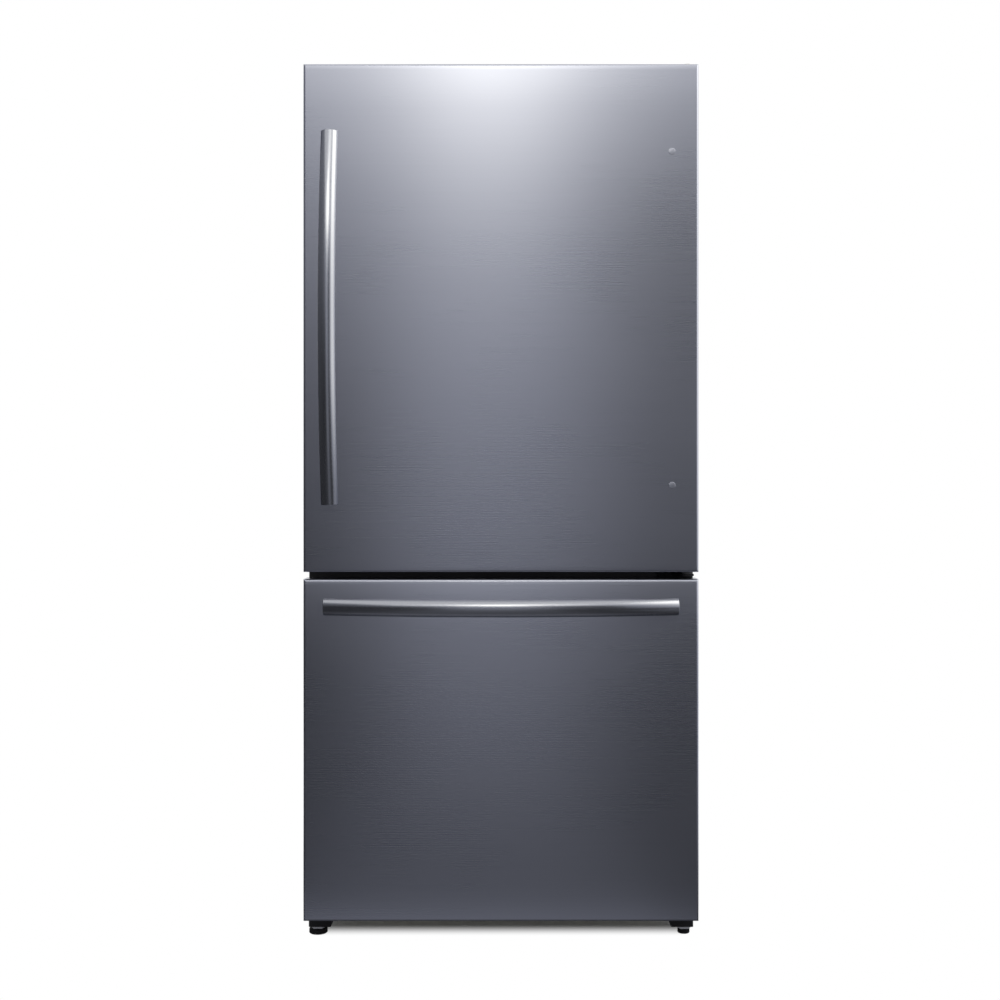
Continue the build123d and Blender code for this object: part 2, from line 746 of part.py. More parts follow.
def condenser_fan_centre():
    """Where the condenser fan's axis meets its shroud."""
    return (condenser_fan_x, back_y - condenser_fan_depth, base_floor + condenser_fan_height)


def condenser_fan_shroud():
    """Square shroud standing on the base sheet, with a round throat and the fan motor on spokes."""
    x, y, z = condenser_fan_centre()
    top = z + shroud_side / 2
    plate = block(about(x, shroud_side), about(y, shroud_sheet), (base_floor, top))
    throat = condenser_fan_radius + fan_tip_gap
    plate -= rod((x, y - 2 * shroud_sheet, z), (0, 1, 0), throat, 4 * shroud_sheet)
    lip_y = (y - shroud_sheet / 2 - fan_hub_length, y)
    foot = block(about(x, shroud_side), lip_y, (base_floor, base_floor + shroud_sheet))
    return [plate + fan_mount((x, y, z), throat, shroud_sheet, -1) + foot]


def condenser_fan():
    """Condenser fan wheel on the shroud motor's shaft."""
    x, y, z = condenser_fan_centre()
    offset = shroud_sheet / 2 + motor_length + fan_seat_gap + fan_hub_length / 2
    return [fan((x, y - offset, z), condenser_fan_radius)]


def evaporator_coil():
    """Finned evaporator: a serpentine tube through upright fins; the end fins stand on the step."""
    y = cavity_back - evaporator_space / 2
    across_x = (-evaporator_half, evaporator_half)
    tube = serpentine(across_x, evaporator_first, evaporator_pitch, evaporator_passes, y,
                      evaporator_tube_radius)
    inset = evaporator_pitch
    spread = 2 * (evaporator_half - inset) / (evaporator_fin_count - 1)
    fin_z = (evaporator_first - evaporator_pitch / 2, evaporator_top)
    for number in range(evaporator_fin_count):
        fin_x = about(inset - evaporator_half + number * spread, evaporator_fin_thickness)
        ends = number in (0, evaporator_fin_count - 1)
        fin_y = about(y, evaporator_fin_depth)
        low = step_top if ends else fin_z[0]
        tube += block(fin_x, fin_y, (low, fin_z[1]))
    return [tube]


def evaporator_fan_centre():
    """Where the evaporator fan's axis meets the freezer's back panel."""
    return (0, panel_face + back_panel_sheet / 2, evaporator_fan_z)


def freezer_back_panel():
    """Moulded panel before the evaporator, with air slots and the fan motor on spokes."""
    half = cavity_half - back_panel_gap
    panel_y = (panel_face, panel_face + back_panel_sheet)
    panel_z = (step_top + back_panel_gap, freezer_ceiling - back_panel_gap)
    panel = block((-half, half), panel_y, panel_z)
    throat = evaporator_fan_radius + fan_tip_gap
    centre = evaporator_fan_centre()
    panel -= rod((centre[0], panel_face - through, centre[2]), (0, 1, 0), throat, 4 * back_panel_sheet)
    panel += fan_mount(centre, throat, back_panel_sheet, 1)
    for row in range(vent_slot_count):
        low = evaporator_first + row * 2.5 * vent_slot_height
        for middle in (-vent_slot_width * 0.75, vent_slot_width * 0.75):
            cut_y = (panel_face - through, panel_face + back_panel_sheet + through)
            panel -= block(about(middle, vent_slot_width), cut_y, (low, low + vent_slot_height))
    return [panel]


def evaporator_fan():
    """Evaporator fan wheel on the back panel motor's shaft."""
    x, y, z = evaporator_fan_centre()
    offset = back_panel_sheet / 2 + motor_length + fan_seat_gap + fan_hub_length / 2
    return [fan((x, y + offset, z), evaporator_fan_radius)]


# ---- Fresh food fittings ----
def shelf_glass_span():
    """How far the glass reaches inside a shelf frame, in x and in y."""
    half = shelf_half - shelf_rim + glass_lap
    inset = shelf_rim - glass_lap
    return (-half, half), (shelf_front + inset, shelf_front + shelf_depth - inset)


def shelf_frame(top):
    """A moulded rim with a rounded front, a rabbet for the glass and an open middle."""
    frame_z = (top - shelf_frame_thickness, top)
    frame = block((-shelf_half, shelf_half), (shelf_front, shelf_front + shelf_depth), frame_z)
    frame = fillet(frame.faces().sort_by(Axis.Y)[0].edges().filter_by(Axis.X), shelf_front_round)
    glass_x, glass_y = shelf_glass_span()
    rabbet_x = (glass_x[0] - glass_clearance, glass_x[1] + glass_clearance)
    rabbet_y = (glass_y[0] - glass_clearance, glass_y[1] + glass_clearance)
    frame -= block(rabbet_x, rabbet_y, (top - glass_thickness, top + through))
    open_x = (glass_x[0] + glass_lap, glass_x[1] - glass_lap)
    open_y = (glass_y[0] + glass_lap, glass_y[1] - glass_lap)
    return frame - block(open_x, open_y, (frame_z[0] - through, top + through))


def shelf_frames():
    """The three shelf frames."""
    return [shelf_frame(top) for top in shelf_heights()]


def crisper_cover():
    """The frame over the crispers, which is also the lowest shelf."""
    return [shelf_frame(fridge_floor + crisper_cover_level)]


def shelf_glasses():
    """Tempered glass panes, one in each shelf frame and one in the crisper cover."""
    glass_x, glass_y = shelf_glass_span()
    tops = shelf_heights() + [fridge_floor + crisper_cover_level]
    return [block(glass_x, glass_y, (top - glass_thickness, top)) for top in tops]


def crisper(side):
    """A drafted produce drawer with a grip lip along its front."""
    near = crisper_middle_gap / 2
    x_span = (near, crisper_far) if side > 0 else (-crisper_far, -near)
    y_span = (shelf_front, shelf_front + crisper_depth)
    z_span = (fridge_floor + seat_gap, fridge_floor + seat_gap + crisper_height)
    drawer = tub(x_span, y_span, z_span, crisper_wall, crisper_corner, crisper_lean)
    grip_x = about(sum(x_span) / 2, (crisper_far - near) * 0.6)
    grip = block(grip_x, (y_span[0] - crisper_grip, y_span[0] + crisper_wall / 2),
                 (z_span[1] - crisper_grip, z_span[1]))
    lower = grip.edges().filter_by(Axis.X).sort_by(lambda edge: edge.center().Y + edge.center().Z)[0]
    return [drawer + chamfer(lower, crisper_grip * 0.6)]


def fridge_air_duct():
    """Back wall air duct: a shallow hollow cover with a column of outlets."""
    half = duct_width / 2
    duct_z = (fridge_floor + duct_low, fridge_ceiling - duct_top_gap)
    duct = block((-half, half), (cavity_back - duct_depth, cavity_back), duct_z)
    duct = fillet(duct.faces().sort_by(Axis.Y)[0].edges().filter_by(Axis.Z), duct_depth / 3)
    hollow_x = (duct_wall - half, half - duct_wall)
    hollow_y = (cavity_back - duct_depth + duct_wall, cavity_back + through)
    duct -= block(hollow_x, hollow_y, (duct_z[0] + duct_wall, duct_z[1] - duct_wall))
    pitch = (duct_z[1] - duct_z[0]) / duct_slot_count
    for number in range(duct_slot_count):
        middle = duct_z[0] + (number + 0.5) * pitch
        slot_y = (cavity_back - duct_depth - through, cavity_back - duct_depth + 2 * duct_wall)
        duct -= block(about(0, duct_slot_width), slot_y, about(middle, duct_slot_height))
    return [duct]


def control_front():
    """Front face of the control housing."""
    return cabinet_front + control_setback


def control_panel():
    """Ceiling housing for the controls: a wedge that leans back below, with two button wells."""
    y = control_front()
    low = fridge_ceiling - control_height
    section = [(y, fridge_ceiling), (y, low), (y + control_depth - control_lean, low)]
    section += [(y + control_depth, low + control_lean), (y + control_depth, fridge_ceiling)]
    housing = extrude(Plane.YZ * Polygon(*section, align=None), control_width / 2, both=True)
    for x in (-button_spacing / 2, button_spacing / 2):
        start = (x, y - through, low + control_height / 2)
        depth = through + button_length - button_proud + button_travel + button_gap
        housing -= rod(start, (0, 1, 0), button_radius + button_gap, depth)
    return [housing]


def temperature_button(x):
    """A round push button in the control housing."""
    start = (x, control_front() - button_proud, fridge_ceiling - control_height / 2)
    return [rod(start, (0, 1, 0), button_radius, button_length)]


def light_diffuser():
    """Translucent cover of the ceiling light."""
    front = control_front() + control_depth + light_gap
    cover_z = (fridge_ceiling - light_height, fridge_ceiling)
    cover = block(about(0, light_width), (front, front + light_depth), cover_z)
    return [chamfer(cover.faces().sort_by(Axis.Z)[0].edges(), light_height * 0.6)]


# ---- Hinges ----
def nose_plate(back, nose_radius, x_low, z_span):
    """A flat hinge arm: straight sides from its root to a round nose about the hinge axis."""
    x_high = hinge_x + nose_radius
    plate = block((x_low, x_high), (hinge_y, back), z_span)
    nose = rod((hinge_x, hinge_y, z_span[0]), (0, 0, 1), nose_radius, z_span[1] - z_span[0])
    cut_x = (x_low - through, hinge_x - nose_radius)
    cut_low = Plane.XY.offset(z_span[0] - through) * Polygon(
        (cut_x[0], hinge_y - nose_radius), (cut_x[1], hinge_y - nose_radius), (cut_x[1], hinge_y),
        (x_low, back - nose_radius / 2), (cut_x[0], back - nose_radius / 2), align=None)
    return plate + nose - extrude(cut_low, z_span[1] - z_span[0] + 2 * through)


def top_hinge_screw_places():
    """Screw centres on the top hinge's base, in x and y."""
    low_x = hinge_x + hinge_nose_radius - hinge_plate_width
    inset = hinge_nose_radius
    near = cabinet_front + 3 * inset
    far = cabinet_front + hinge_plate_depth - inset
    return [(low_x + inset, near), (low_x + hinge_plate_width - inset, near), (hinge_x - inset, far)]


def top_hinge():
    """Pressed top hinge: a base on the cabinet, a riser, an arm over the door and its pin."""
    x_high = hinge_x + hinge_nose_radius
    x_span = (x_high - hinge_plate_width, x_high)
    riser_back = cabinet_front + 2 * hinge_sheet
    base_z = (cabinet_top, cabinet_top + hinge_sheet)
    arm_low = door_top + hinge_sheet_lift
    arm_z = (arm_low, arm_low + hinge_sheet)
    base = block(x_span, (riser_back - hinge_sheet, cabinet_front + hinge_plate_depth), base_z)
    base = fillet(base.edges().filter_by(Axis.Z).group_by(Axis.Y)[-1], hinge_nose_radius)
    riser = block(x_span, (riser_back - hinge_sheet, riser_back), (base_z[0], arm_z[1]))
    arm = nose_plate(riser_back, hinge_nose_radius, x_span[0], arm_z)
    pin_length = hinge_sheet_lift + end_cap_height - pin_end_gap
    pin = rod((hinge_x, hinge_y, arm_low), (0, 0, -1), top_pin_radius, pin_length)
    hinge = base + riser + arm + pin
    for x, y in top_hinge_screw_places():
        hinge -= rod((x, y, cabinet_top - through), (0, 0, 1), screw_radius + screw_clearance,
                     hinge_sheet + 2 * through)
    return [hinge]


def top_hinge_cover():
    """Moulded cover over the top hinge's base, open to the front for the arm."""
    x_high = cabinet_half - through
    x_low = hinge_x + hinge_nose_radius - hinge_plate_width - hinge_cover_margin
    front = cabinet_front + 2 * hinge_sheet + seat_gap
    cover_z = (cabinet_top, cabinet_top + hinge_cover_height)
    middle = ((x_low + x_high) / 2, front + hinge_cover_depth / 2)
    foot = Pos(*middle) * Rectangle(x_high - x_low, hinge_cover_depth)
    foot = chamfer(foot.vertices().group_by(Axis.Y)[-1], hinge_cover_margin)
    cover = Pos(0, 0, cover_z[0]) * extrude(foot, hinge_cover_height, taper=hinge_cover_draft)
    wall = hinge_cover_wall
    draw_in = hinge_cover_height * math.tan(math.radians(hinge_cover_draft))
    hollow_x = (x_low + wall + draw_in, x_high - wall - draw_in)
    hollow_y = (front - through, front + hinge_cover_depth - wall - draw_in)
    return [cover - block(hollow_x, hollow_y, (cover_z[0] - through, cover_z[1] - wall))]


def middle_arm_z():
    """Lower and upper face of the middle hinge's arm."""
    low = drawer_top + middle_arm_lift
    return (low, low + middle_arm_thickness)


def middle_screw_places():
    """Screw centres on the middle hinge's upright plate, in x and z."""
    x_high = hinge_x + middle_nose_radius
    low = x_high - middle_plate_width
    return [(low + middle_nose_radius / 2, gap_middle), (low + 1.8 * middle_nose_radius, gap_middle)]


def middle_hinge():
    """Middle hinge in the gap: an upright plate on the mullion, a thick arm and the door's lower pin."""
    x_high = hinge_x + middle_nose_radius
    x_span = (x_high - middle_plate_width, x_high)
    plate_y = (cabinet_front - hinge_sheet, cabinet_front)
    plate = block(x_span, plate_y, about(gap_middle, middle_plate_height))
    arm_z = middle_arm_z()
    arm = nose_plate(cabinet_front, middle_nose_radius, x_high - middle_arm_width, arm_z)
    pin_top = door_bottom + end_cap_height - pin_end_gap
    pin = rod((hinge_x, hinge_y, arm_z[1]), (0, 0, 1), middle_pin_radius, pin_top - arm_z[1])
    hinge = plate + arm + pin
    for x, z in middle_screw_places():
        hinge -= rod((x, cabinet_front + through, z), (0, -1, 0), screw_radius + screw_clearance,
                     hinge_sheet + 2 * through)
    return [hinge]


def screw(seat, direction):
    """A hexagon screw: a shank down to the sheet under the plate and a head on the plate."""
    shank = rod(seat, direction, screw_radius, hinge_sheet)
    head = extrude(RegularPolygon(screw_head_radius, 6), screw_head_height)
    return shank + Plane(origin=seat, z_dir=direction) * Pos(0, 0, hinge_sheet) * head


def hinge_screws():
    """The screws of both hinges."""
    screws = [screw((x, y, cabinet_top), (0, 0, 1)) for x, y in top_hinge_screw_places()]
    screws += [screw((x, cabinet_front, z), (0, -1, 0)) for x, z in middle_screw_places()]
    return screws


def hinge_bushes():
    """Plastic bearings in the door's end caps; the lower one has a thrust flange."""
    top_start = (hinge_x, hinge_y, door_top - end_cap_height)
    upper = rod(top_start, (0, 0, 1), top_bush_radius - pin_clearance, end_cap_height)
    bore = top_pin_radius + pin_clearance
    upper -= rod((hinge_x, hinge_y, door_top + through), (0, 0, -1), bore,
                 through + end_cap_height - pin_end_gap / 2)
    flange_low = middle_arm_z()[1] + bush_seat_gap
    lower = rod((hinge_x, hinge_y, flange_low), (0, 0, 1), middle_bush_flange_radius,
                door_bottom - flange_low)
    lower += rod((hinge_x, hinge_y, door_bottom), (0, 0, 1), middle_bush_radius - pin_clearance,
                 end_cap_height)
    depth = door_bottom - flange_low + end_cap_height - pin_end_gap / 2
    lower -= rod((hinge_x, hinge_y, flange_low - through), (0, 0, 1), middle_pin_radius + pin_clearance,
                 depth + through)
    return [upper, lower]


# ---- Upper door ----
def skin(z_span):
    """A folded steel door face with rounded front edges and returns at its top and bottom."""
    outer = block((-half_width, half_width), (door_front, door_back), z_span)
    outer = fillet(front_edges(outer), door_edge_round)
    return outer - door_core(z_span, steel)


def cap_span(end):
    """Height span of an end cap: +1 the upper one, -1 the lower one."""
    edge = door_top if end > 0 else door_bottom
    return tuple(sorted((edge, edge - end * end_cap_height)))


def door_skin():
    """The upper door's steel face; its ends are open behind the short returns for the caps."""
    face = skin((door_bottom, door_top))
    side = half_width - steel
    for end in (-1, 1):
        low, high = cap_span(end)
        cut_z = (low - through, high + through)
        face -= block((-side, side), (door_front + skin_return, door_back + through), cut_z)
    return [face]


def door_end_caps():
    """Moulded caps that close the top and bottom of the upper door and hold its bushes."""
    side = half_width - steel
    caps = []
    for end, radius in ((1, top_bush_radius), (-1, middle_bush_radius)):
        cap = block((-side, side), (door_front + skin_return, door_back), cap_span(end))
        cap = fillet(cap.edges().filter_by(Axis.Z).group_by(Axis.Y)[-1], 2 * steel)
        start = (hinge_x, hinge_y, cap_span(end)[0] - through)
        caps.append(cap - rod(start, (0, 0, 1), radius, end_cap_height + 2 * through))
    return caps


def plug_bars(half, depth, border, z_span, shrink):
    """The four bars of a liner's raised border, drawn in by the liner's thickness."""
    y_span = (door_back, door_back + plastic + depth - shrink)
    outer = half - shrink
    low, high = z_span[0] + shrink, z_span[1] - shrink
    inner = half - border + shrink
    inner_low, inner_high = z_span[0] + border - shrink, z_span[1] - border + shrink
    bars = [block((-outer, outer), y_span, (low, inner_low))]
    bars.append(block((-outer, outer), y_span, (inner_high, high)))
    bars += pair(block((inner, outer), y_span, (inner_low, inner_high)))
    return bars


def door_plug_z():
    """Height span of the upper door liner's raised border."""
    return (door_bottom + door_plug_end_inset, door_top - door_plug_top_inset)


def drawer_plug_z():
    """Height span of the drawer liner's raised border."""
    return (drawer_bottom + drawer_plug_low_inset, drawer_top - drawer_plug_top_inset)


def door_foam():
    """The upper door's foam core and the foam inside the liner's raised border."""
    core = door_core((door_bottom, door_top), steel)
    for end in (-1, 1):
        low, high = cap_span(end)
        core -= block((-half_width, half_width), (door_front, door_back + through),
                      (low - through, high + through))
    return [core] + plug_bars(door_plug_half, door_plug_depth, door_plug_border, door_plug_z(), plastic)


def formed_liner(half, depth, border, z_span, edge_z):
    """A door's inner sheet with a hollow raised border that stands into the cabinet."""
    edge = half_width - liner_flange_inset
    sheet = block((-edge, edge), (door_back, door_back + plastic), edge_z)
    border_y = (door_back + plastic, door_back + plastic + depth)
    raised = ring(half, z_span, border_y, border)
    raised = fillet(raised.faces().sort_by(Axis.Y)[-1].edges(), 2 * plastic)
    liner = sheet + raised
    for bar in plug_bars(half, depth, border, z_span, plastic):
        liner -= bar
    return liner


def door_liner():
    """The upper door's moulded inner liner with the raised border that holds the bins."""
    edge_z = (door_bottom + liner_flange_inset, door_top - liner_flange_inset)
    return [formed_liner(door_plug_half, door_plug_depth, door_plug_border, door_plug_z(), edge_z)]


def gasket(z_span):
    """A magnetic door seal: a wide foot on the liner and a softer, narrower face."""
    base_y = (door_back + plastic, door_back + plastic + gasket_space / 3)
    face_y = (base_y[1], cabinet_front - gasket_clearance)
    half = half_width - gasket_inset
    foot = ring(half, z_span, base_y, gasket_width)
    inset = gasket_width / 6
    face_z = (z_span[0] + inset, z_span[1] - inset)
    return foot + ring(half - inset, face_z, face_y, gasket_width - 2 * inset)


def door_gasket():
    """The upper door's seal."""
    return [gasket((door_bottom + gasket_to_gap, door_top - gasket_end_inset))]


def bowed_bar(length):
    """A D-section bar along X that bows away from the door, its flat side towards it."""
    half = length / 2
    path = ThreePointArc((-half, -handle_end_gap, 0), (0, -handle_end_gap - handle_bow, 0),
                         (half, -handle_end_gap, 0))
    side = handle_width / 2
    outline = Polyline((-side, handle_edge), (-side, 0), (side, 0), (side, handle_edge))
    crown = ThreePointArc((side, handle_edge), (0, handle_thickness), (-side, handle_edge))
    section = make_face(Curve() + outline + crown)
    start = Plane(origin=path @ 0, x_dir=(0, 0, 1), z_dir=path % 0)
    bar = sweep(start * section, path=path)
    bar &= block((-half, half), (-handle_projection - through, 0), (-handle_width, handle_width))
    return bar


def bar_posts(length):
    """Two round posts under a bowed bar, cut to its underside."""
    posts = []
    for x in (handle_post_inset - length / 2, length / 2 - handle_post_inset):
        post = rod((x, 0, 0), (0, -1, 0), handle_post_radius, handle_end_gap + handle_bow / 3)
        posts.append(post - bowed_bar(length))
    return posts


def upright(solid):
    """Turn a bar that lies along X so that it stands along Z at the door handle's place."""
    return Pos(-door_handle_offset, door_front, door_handle_z) * Rot(0, -90, 0) * solid


def across(solid):
    """Put a bar that lies along X at the drawer handle's place."""
    return Pos(0, door_front, drawer_handle_z) * solid


def door_handle():
    """The upper door's upright bowed handle."""
    return [upright(bowed_bar(door_handle_length))]


def door_handle_posts():
    """The upper door handle's two posts."""
    return [upright(post) for post in bar_posts(door_handle_length)]


def handle_hole_plugs():
    """Stepped plugs in the spare handle holes on the hinge side, level with the handle's posts."""
    plugs = []
    reach = door_handle_length / 2 - handle_post_inset
    for z in (door_handle_z - reach, door_handle_z + reach):
        seat = (door_handle_offset, door_front, z)
        plug = rod(seat, (0, -1, 0), hole_plug_radius, hole_plug_height - hole_plug_step)
        plugs.append(plug + rod(seat, (0, -1, 0), hole_plug_radius - hole_plug_step, hole_plug_height))
    return plugs


def bin_spans(base, height):
    """Spans of a door bin that fits inside the liner's raised border."""
    half = door_plug_half - door_plug_border - bin_end_gap
    back = door_back + plastic + seat_gap
    low = door_bottom + base
    return (-half, half), (back, back + bin_depth), (low, low + height)


def door_bin(base, height):
    """An open door bin."""
    return tub(*bin_spans(base, height), bin_wall, bin_corner, 0)


def door_bin_middle():
    """The middle door bin."""
    return [door_bin(middle_bin_base, middle_bin_height)]


def door_bin_lower():
    """The tall lower bin for bottles."""
    return [door_bin(lower_bin_base, lower_bin_height)]


def lid_pivot():
    """The dairy lid's pivot line: its y and z."""
    _, y_span, z_span = bin_spans(dairy_base, dairy_height)
    return y_span[0] + lid_pivot_setback, z_span[1] + lid_pivot_rise


def dairy_bin():
    """The dairy bin with two ears above its rim that carry the lid's pivots."""
    x_span, y_span, z_span = bin_spans(dairy_base, dairy_height)
    y, z = lid_pivot()
    body = door_bin(dairy_base, dairy_height)
    ear_y = about(y, 4 * lid_pivot_radius)
    ear_x = (x_span[1] - 2 * bin_wall, x_span[1])
    ear = block(ear_x, ear_y, (z_span[1] - bin_corner, z))
    ear += rod((ear_x[0], y, z), (1, 0, 0), 2 * lid_pivot_radius, 2 * bin_wall)
    for side in pair(ear):
        body += side
    for side in pair(rod((ear_x[0] - through, y, z), (1, 0, 0), lid_pivot_radius + pin_clearance,
                         2 * bin_wall + 2 * through)):
        body -= side
    return [body]


def dairy_lid():
    """A thin lid with a rolled knuckle on its pivots and a turned-down front lip."""
    x_span, y_span, z_span = bin_spans(dairy_base, dairy_height)
    y, z = lid_pivot()
    half = x_span[1] - 2 * bin_wall - lid_side_gap
    low = z_span[1] + lid_rim_gap
    plate = block((-half, half), (y, y_span[1]), (low, low + lid_thickness))
    lip = block((-half, half), (y_span[1], y_span[1] + lid_thickness), (low - lid_lip, low + lid_thickness))
    lid = plate + lip + rod((-half, y, z), (1, 0, 0), lid_knuckle_radius, 2 * half)
    pivot_reach = lid_side_gap + 2 * bin_wall - seat_gap
    for pivot in pair(rod((half - through, y, z), (1, 0, 0), lid_pivot_radius, through + pivot_reach)):
        lid += pivot
    return [lid]


# ---- Freezer drawer ----
def drawer_skin():
    """The drawer's steel face, folded back on all four sides."""
    return [skin((drawer_bottom, drawer_top))]


def drawer_foam():
    """The drawer front's foam core and the foam inside its liner's raised border."""
    core = door_core((drawer_bottom, drawer_top), steel)
    bars = plug_bars(drawer_plug_half, drawer_plug_depth, drawer_plug_border, drawer_plug_z(), plastic)
    return [core] + bars


def drawer_liner():
    """The drawer front's moulded inner liner."""
    edge_z = (drawer_bottom + liner_flange_inset, drawer_top - liner_flange_inset)
    return [formed_liner(drawer_plug_half, drawer_plug_depth, drawer_plug_border, drawer_plug_z(), edge_z)]


def drawer_gasket():
    """The drawer front's seal."""
    return [gasket((drawer_bottom + drawer_gasket_end_inset, drawer_top - gasket_to_gap))]


def drawer_handle():
    """The drawer's level bowed handle."""
    return [across(bowed_bar(drawer_handle_length))]


def drawer_handle_posts():
    """The drawer handle's two posts."""
    return [across(post) for post in bar_posts(drawer_handle_length)]


def channel(x_outer, x_inner, z_span, y_span, sheet):
    """A right-hand rail: a web on its outer side and two flanges that point inward."""
    body = block((x_inner, x_outer), y_span, z_span)
    hollow_z = (z_span[0] + sheet, z_span[1] - sheet)
    hollow_y = (y_span[0] - through, y_span[1] + through)
    return body - block((x_inner - through, x_outer - sheet), hollow_y, hollow_z)


def slide_outer_rails():
    """Fixed rails on the freezer liner, with lips that keep the middle rails in."""
    y_span = (slide_front, slide_front + slide_length)
    x_inner = cavity_half - slide_width
    rail = channel(cavity_half, x_inner, (slide_low, slide_high), y_span, slide_sheet)
    for edge, sign in ((slide_low + slide_sheet, 1), (slide_high - slide_sheet, -1)):
        lip_z = tuple(sorted((edge, edge + sign * slide_lip)))
        rail += block((x_inner, x_inner + slide_sheet), y_span, lip_z)
    return pair(rail)


def middle_rail_z():
    """Height span of a middle rail, inside the outer rail's lips."""
    inset = slide_sheet + slide_lip + slide_play
    return (slide_low + inset, slide_high - inset)


def middle_rail_outer():
    """The outer face of a right-hand middle rail's web."""
    return cavity_half - slide_sheet - 8 * slide_play


def slide_middle_rails():
    """Middle rails that travel half as far as the drawer."""
    y_span = (slide_front, slide_front + slide_length)
    x_inner = middle_rail_outer() - slide_sheet - slide_inner_width + slide_play
    rail = channel(middle_rail_outer(), x_inner, middle_rail_z(), y_span, slide_sheet)
    return pair(rail)


def inner_rail_spans():
    """Spans of a right-hand inner rail, in x and z."""
    z_low, z_high = middle_rail_z()
    inset = slide_sheet + slide_play
    x_outer = middle_rail_outer() - slide_sheet - slide_play
    return (x_outer - slide_inner_width, x_outer), (z_low + inset, z_high - inset)


def basket_seat():
    """Top height of the frame's basket ledge, and its inner edge in x."""
    (x_low, _), (z_low, _) = inner_rail_spans()
    return z_low + basket_ledge_lift + slide_sheet, x_low - basket_ledge_width


def cross_bar_y():
    """Depth of the frame's rear cross bar."""
    return slide_front + slide_length - slide_setback - cross_bar_inset


def drawer_frame():
    """Inner rails with basket ledges, front plates on the drawer liner and a rear cross bar."""
    (x_low, x_high), z_span = inner_rail_spans()
    plug_back = door_back + plastic + drawer_plug_depth
    rail_y = (plug_back + frame_plate_thickness, cross_bar_y() + cross_bar_inset)
    rail = block((x_low, x_high), rail_y, z_span)
    hollow_z = (z_span[0] + slide_sheet, z_span[1] - slide_sheet)
    rail -= block((x_low + slide_sheet, x_high + through), (rail_y[0] - through, rail_y[1] + through),
                  hollow_z)
    ledge_top, ledge_inner = basket_seat()
    rail += block((ledge_inner, x_low + slide_sheet / 2), rail_y, (ledge_top - slide_sheet, ledge_top))
    plate_x = (drawer_plug_half - drawer_plug_border, x_high)
    plate = block(plate_x, (plug_back, plug_back + frame_plate_thickness),
                  (z_span[1] - frame_plate_height, z_span[1]))
    frame = None
    for side in pair(rail + plate):
        frame = side if frame is None else frame + side
    bar_start = (-x_low - slide_sheet / 2, cross_bar_y(), ledge_top + cross_bar_radius)
    frame += rod(bar_start, (1, 0, 0), cross_bar_radius, 2 * x_low + slide_sheet)
    return [frame]


def basket_section(offset, front, back, top):
    """The basket's stepped side outline, drawn in by an offset."""
    floor = freezer_floor + basket_floor_gap + offset
    step = step_front - basket_step_gap - offset
    raised = step_top + basket_floor_gap + offset
    points = [(front + offset, floor), (step, floor), (step, raised), (back - offset, raised)]
    points += [(back - offset, top), (front + offset, top)]
    return Plane.YZ * Polygon(*points, align=None)


def freezer_basket():
    """A stepped basket with a hanging rim and rows of upright slots in its front and sides."""
    seat, ledge_inner = basket_seat()
    half = ledge_inner - basket_side_gap
    front = cabinet_front + basket_front_setback
    back = cross_bar_y() - cross_bar_radius - basket_back_gap
    top = seat + basket_rim
    body = extrude(basket_section(0, front, back, top), half, both=True)
    body = fillet(body.faces().sort_by(Axis.Y)[0].edges().filter_by(Axis.Z), basket_corner)
    hollow = extrude(basket_section(basket_wall, front, back, top + through), half - basket_wall, both=True)
    basket = body - hollow
    rim_half = ledge_inner + basket_ledge_width - basket_side_gap
    rim = block((-rim_half, rim_half), (front, back), (seat, top))
    inner = half - basket_wall
    rim -= block((-inner, inner), (front + basket_wall, back - basket_wall), (seat - through, top + through))
    basket += rim
    slot_z = (freezer_floor + 4 * basket_floor_gap, seat - 3 * basket_floor_gap)
    pitch = 2 * (inner - 2 * basket_floor_gap) / (basket_slot_count - 1)
    for number in range(basket_slot_count):
        x = 2 * basket_floor_gap - inner + number * pitch
        basket -= block(about(x, basket_slot_width), (front - through, front + 2 * basket_wall), slot_z)
    return [basket]


def tray_top():
    """Top height of the freezer tray."""
    return freezer_ceiling - tray_top_gap


def freezer_tray():
    """The upper freezer tray: a drafted tub with side flanges that run on the liner's runners."""
    y_span = (slide_front, slide_front + slide_length)
    top = tray_top()
    tray = tub((-tray_half, tray_half), y_span, (top - tray_height, top), tray_wall, tray_corner, tray_lean)
    flange_low = top - tray_flange_drop
    flange_x = (tray_half - 2 * tray_wall, tray_half + tray_flange_width)
    flange = block(flange_x, (y_span[0] + tray_corner, y_span[1] - tray_corner),
                   (flange_low, flange_low + tray_flange_thickness))
    hollow_half = tray_half - 2 * tray_wall
    for side in pair(flange):
        tray += side - block((-hollow_half, hollow_half), y_span, about(flange_low, tray_height))
    return [tray]


# ---- Feet and rollers ----
def front_foot_brackets():
    """Steel blocks under the front beam, each with a bored seat for a levelling foot."""
    brackets = []
    for side in (-1, 1):
        x = side * foot_x
        x_span = sorted((side * (cabinet_half - bracket_width), side * cabinet_half))
        y_span = (cabinet_front - bracket_front, cabinet_front + bracket_back)
        body = block(x_span, y_span, (bracket_low, cabinet_bottom))
        body += block(x_span, (y_span[0], cabinet_front), (cabinet_bottom, cabinet_bottom + bracket_lip))
        body = fillet(body.faces().sort_by(Axis.Y)[0].edges().filter_by(Axis.Z), 2 * base_sheet)
        bore = foot_stud_radius + foot_stud_clearance
        depth = cabinet_bottom - bracket_low + 2 * through
        brackets.append(body - rod((x, foot_y, bracket_low - through), (0, 0, 1), bore, depth))
    return brackets


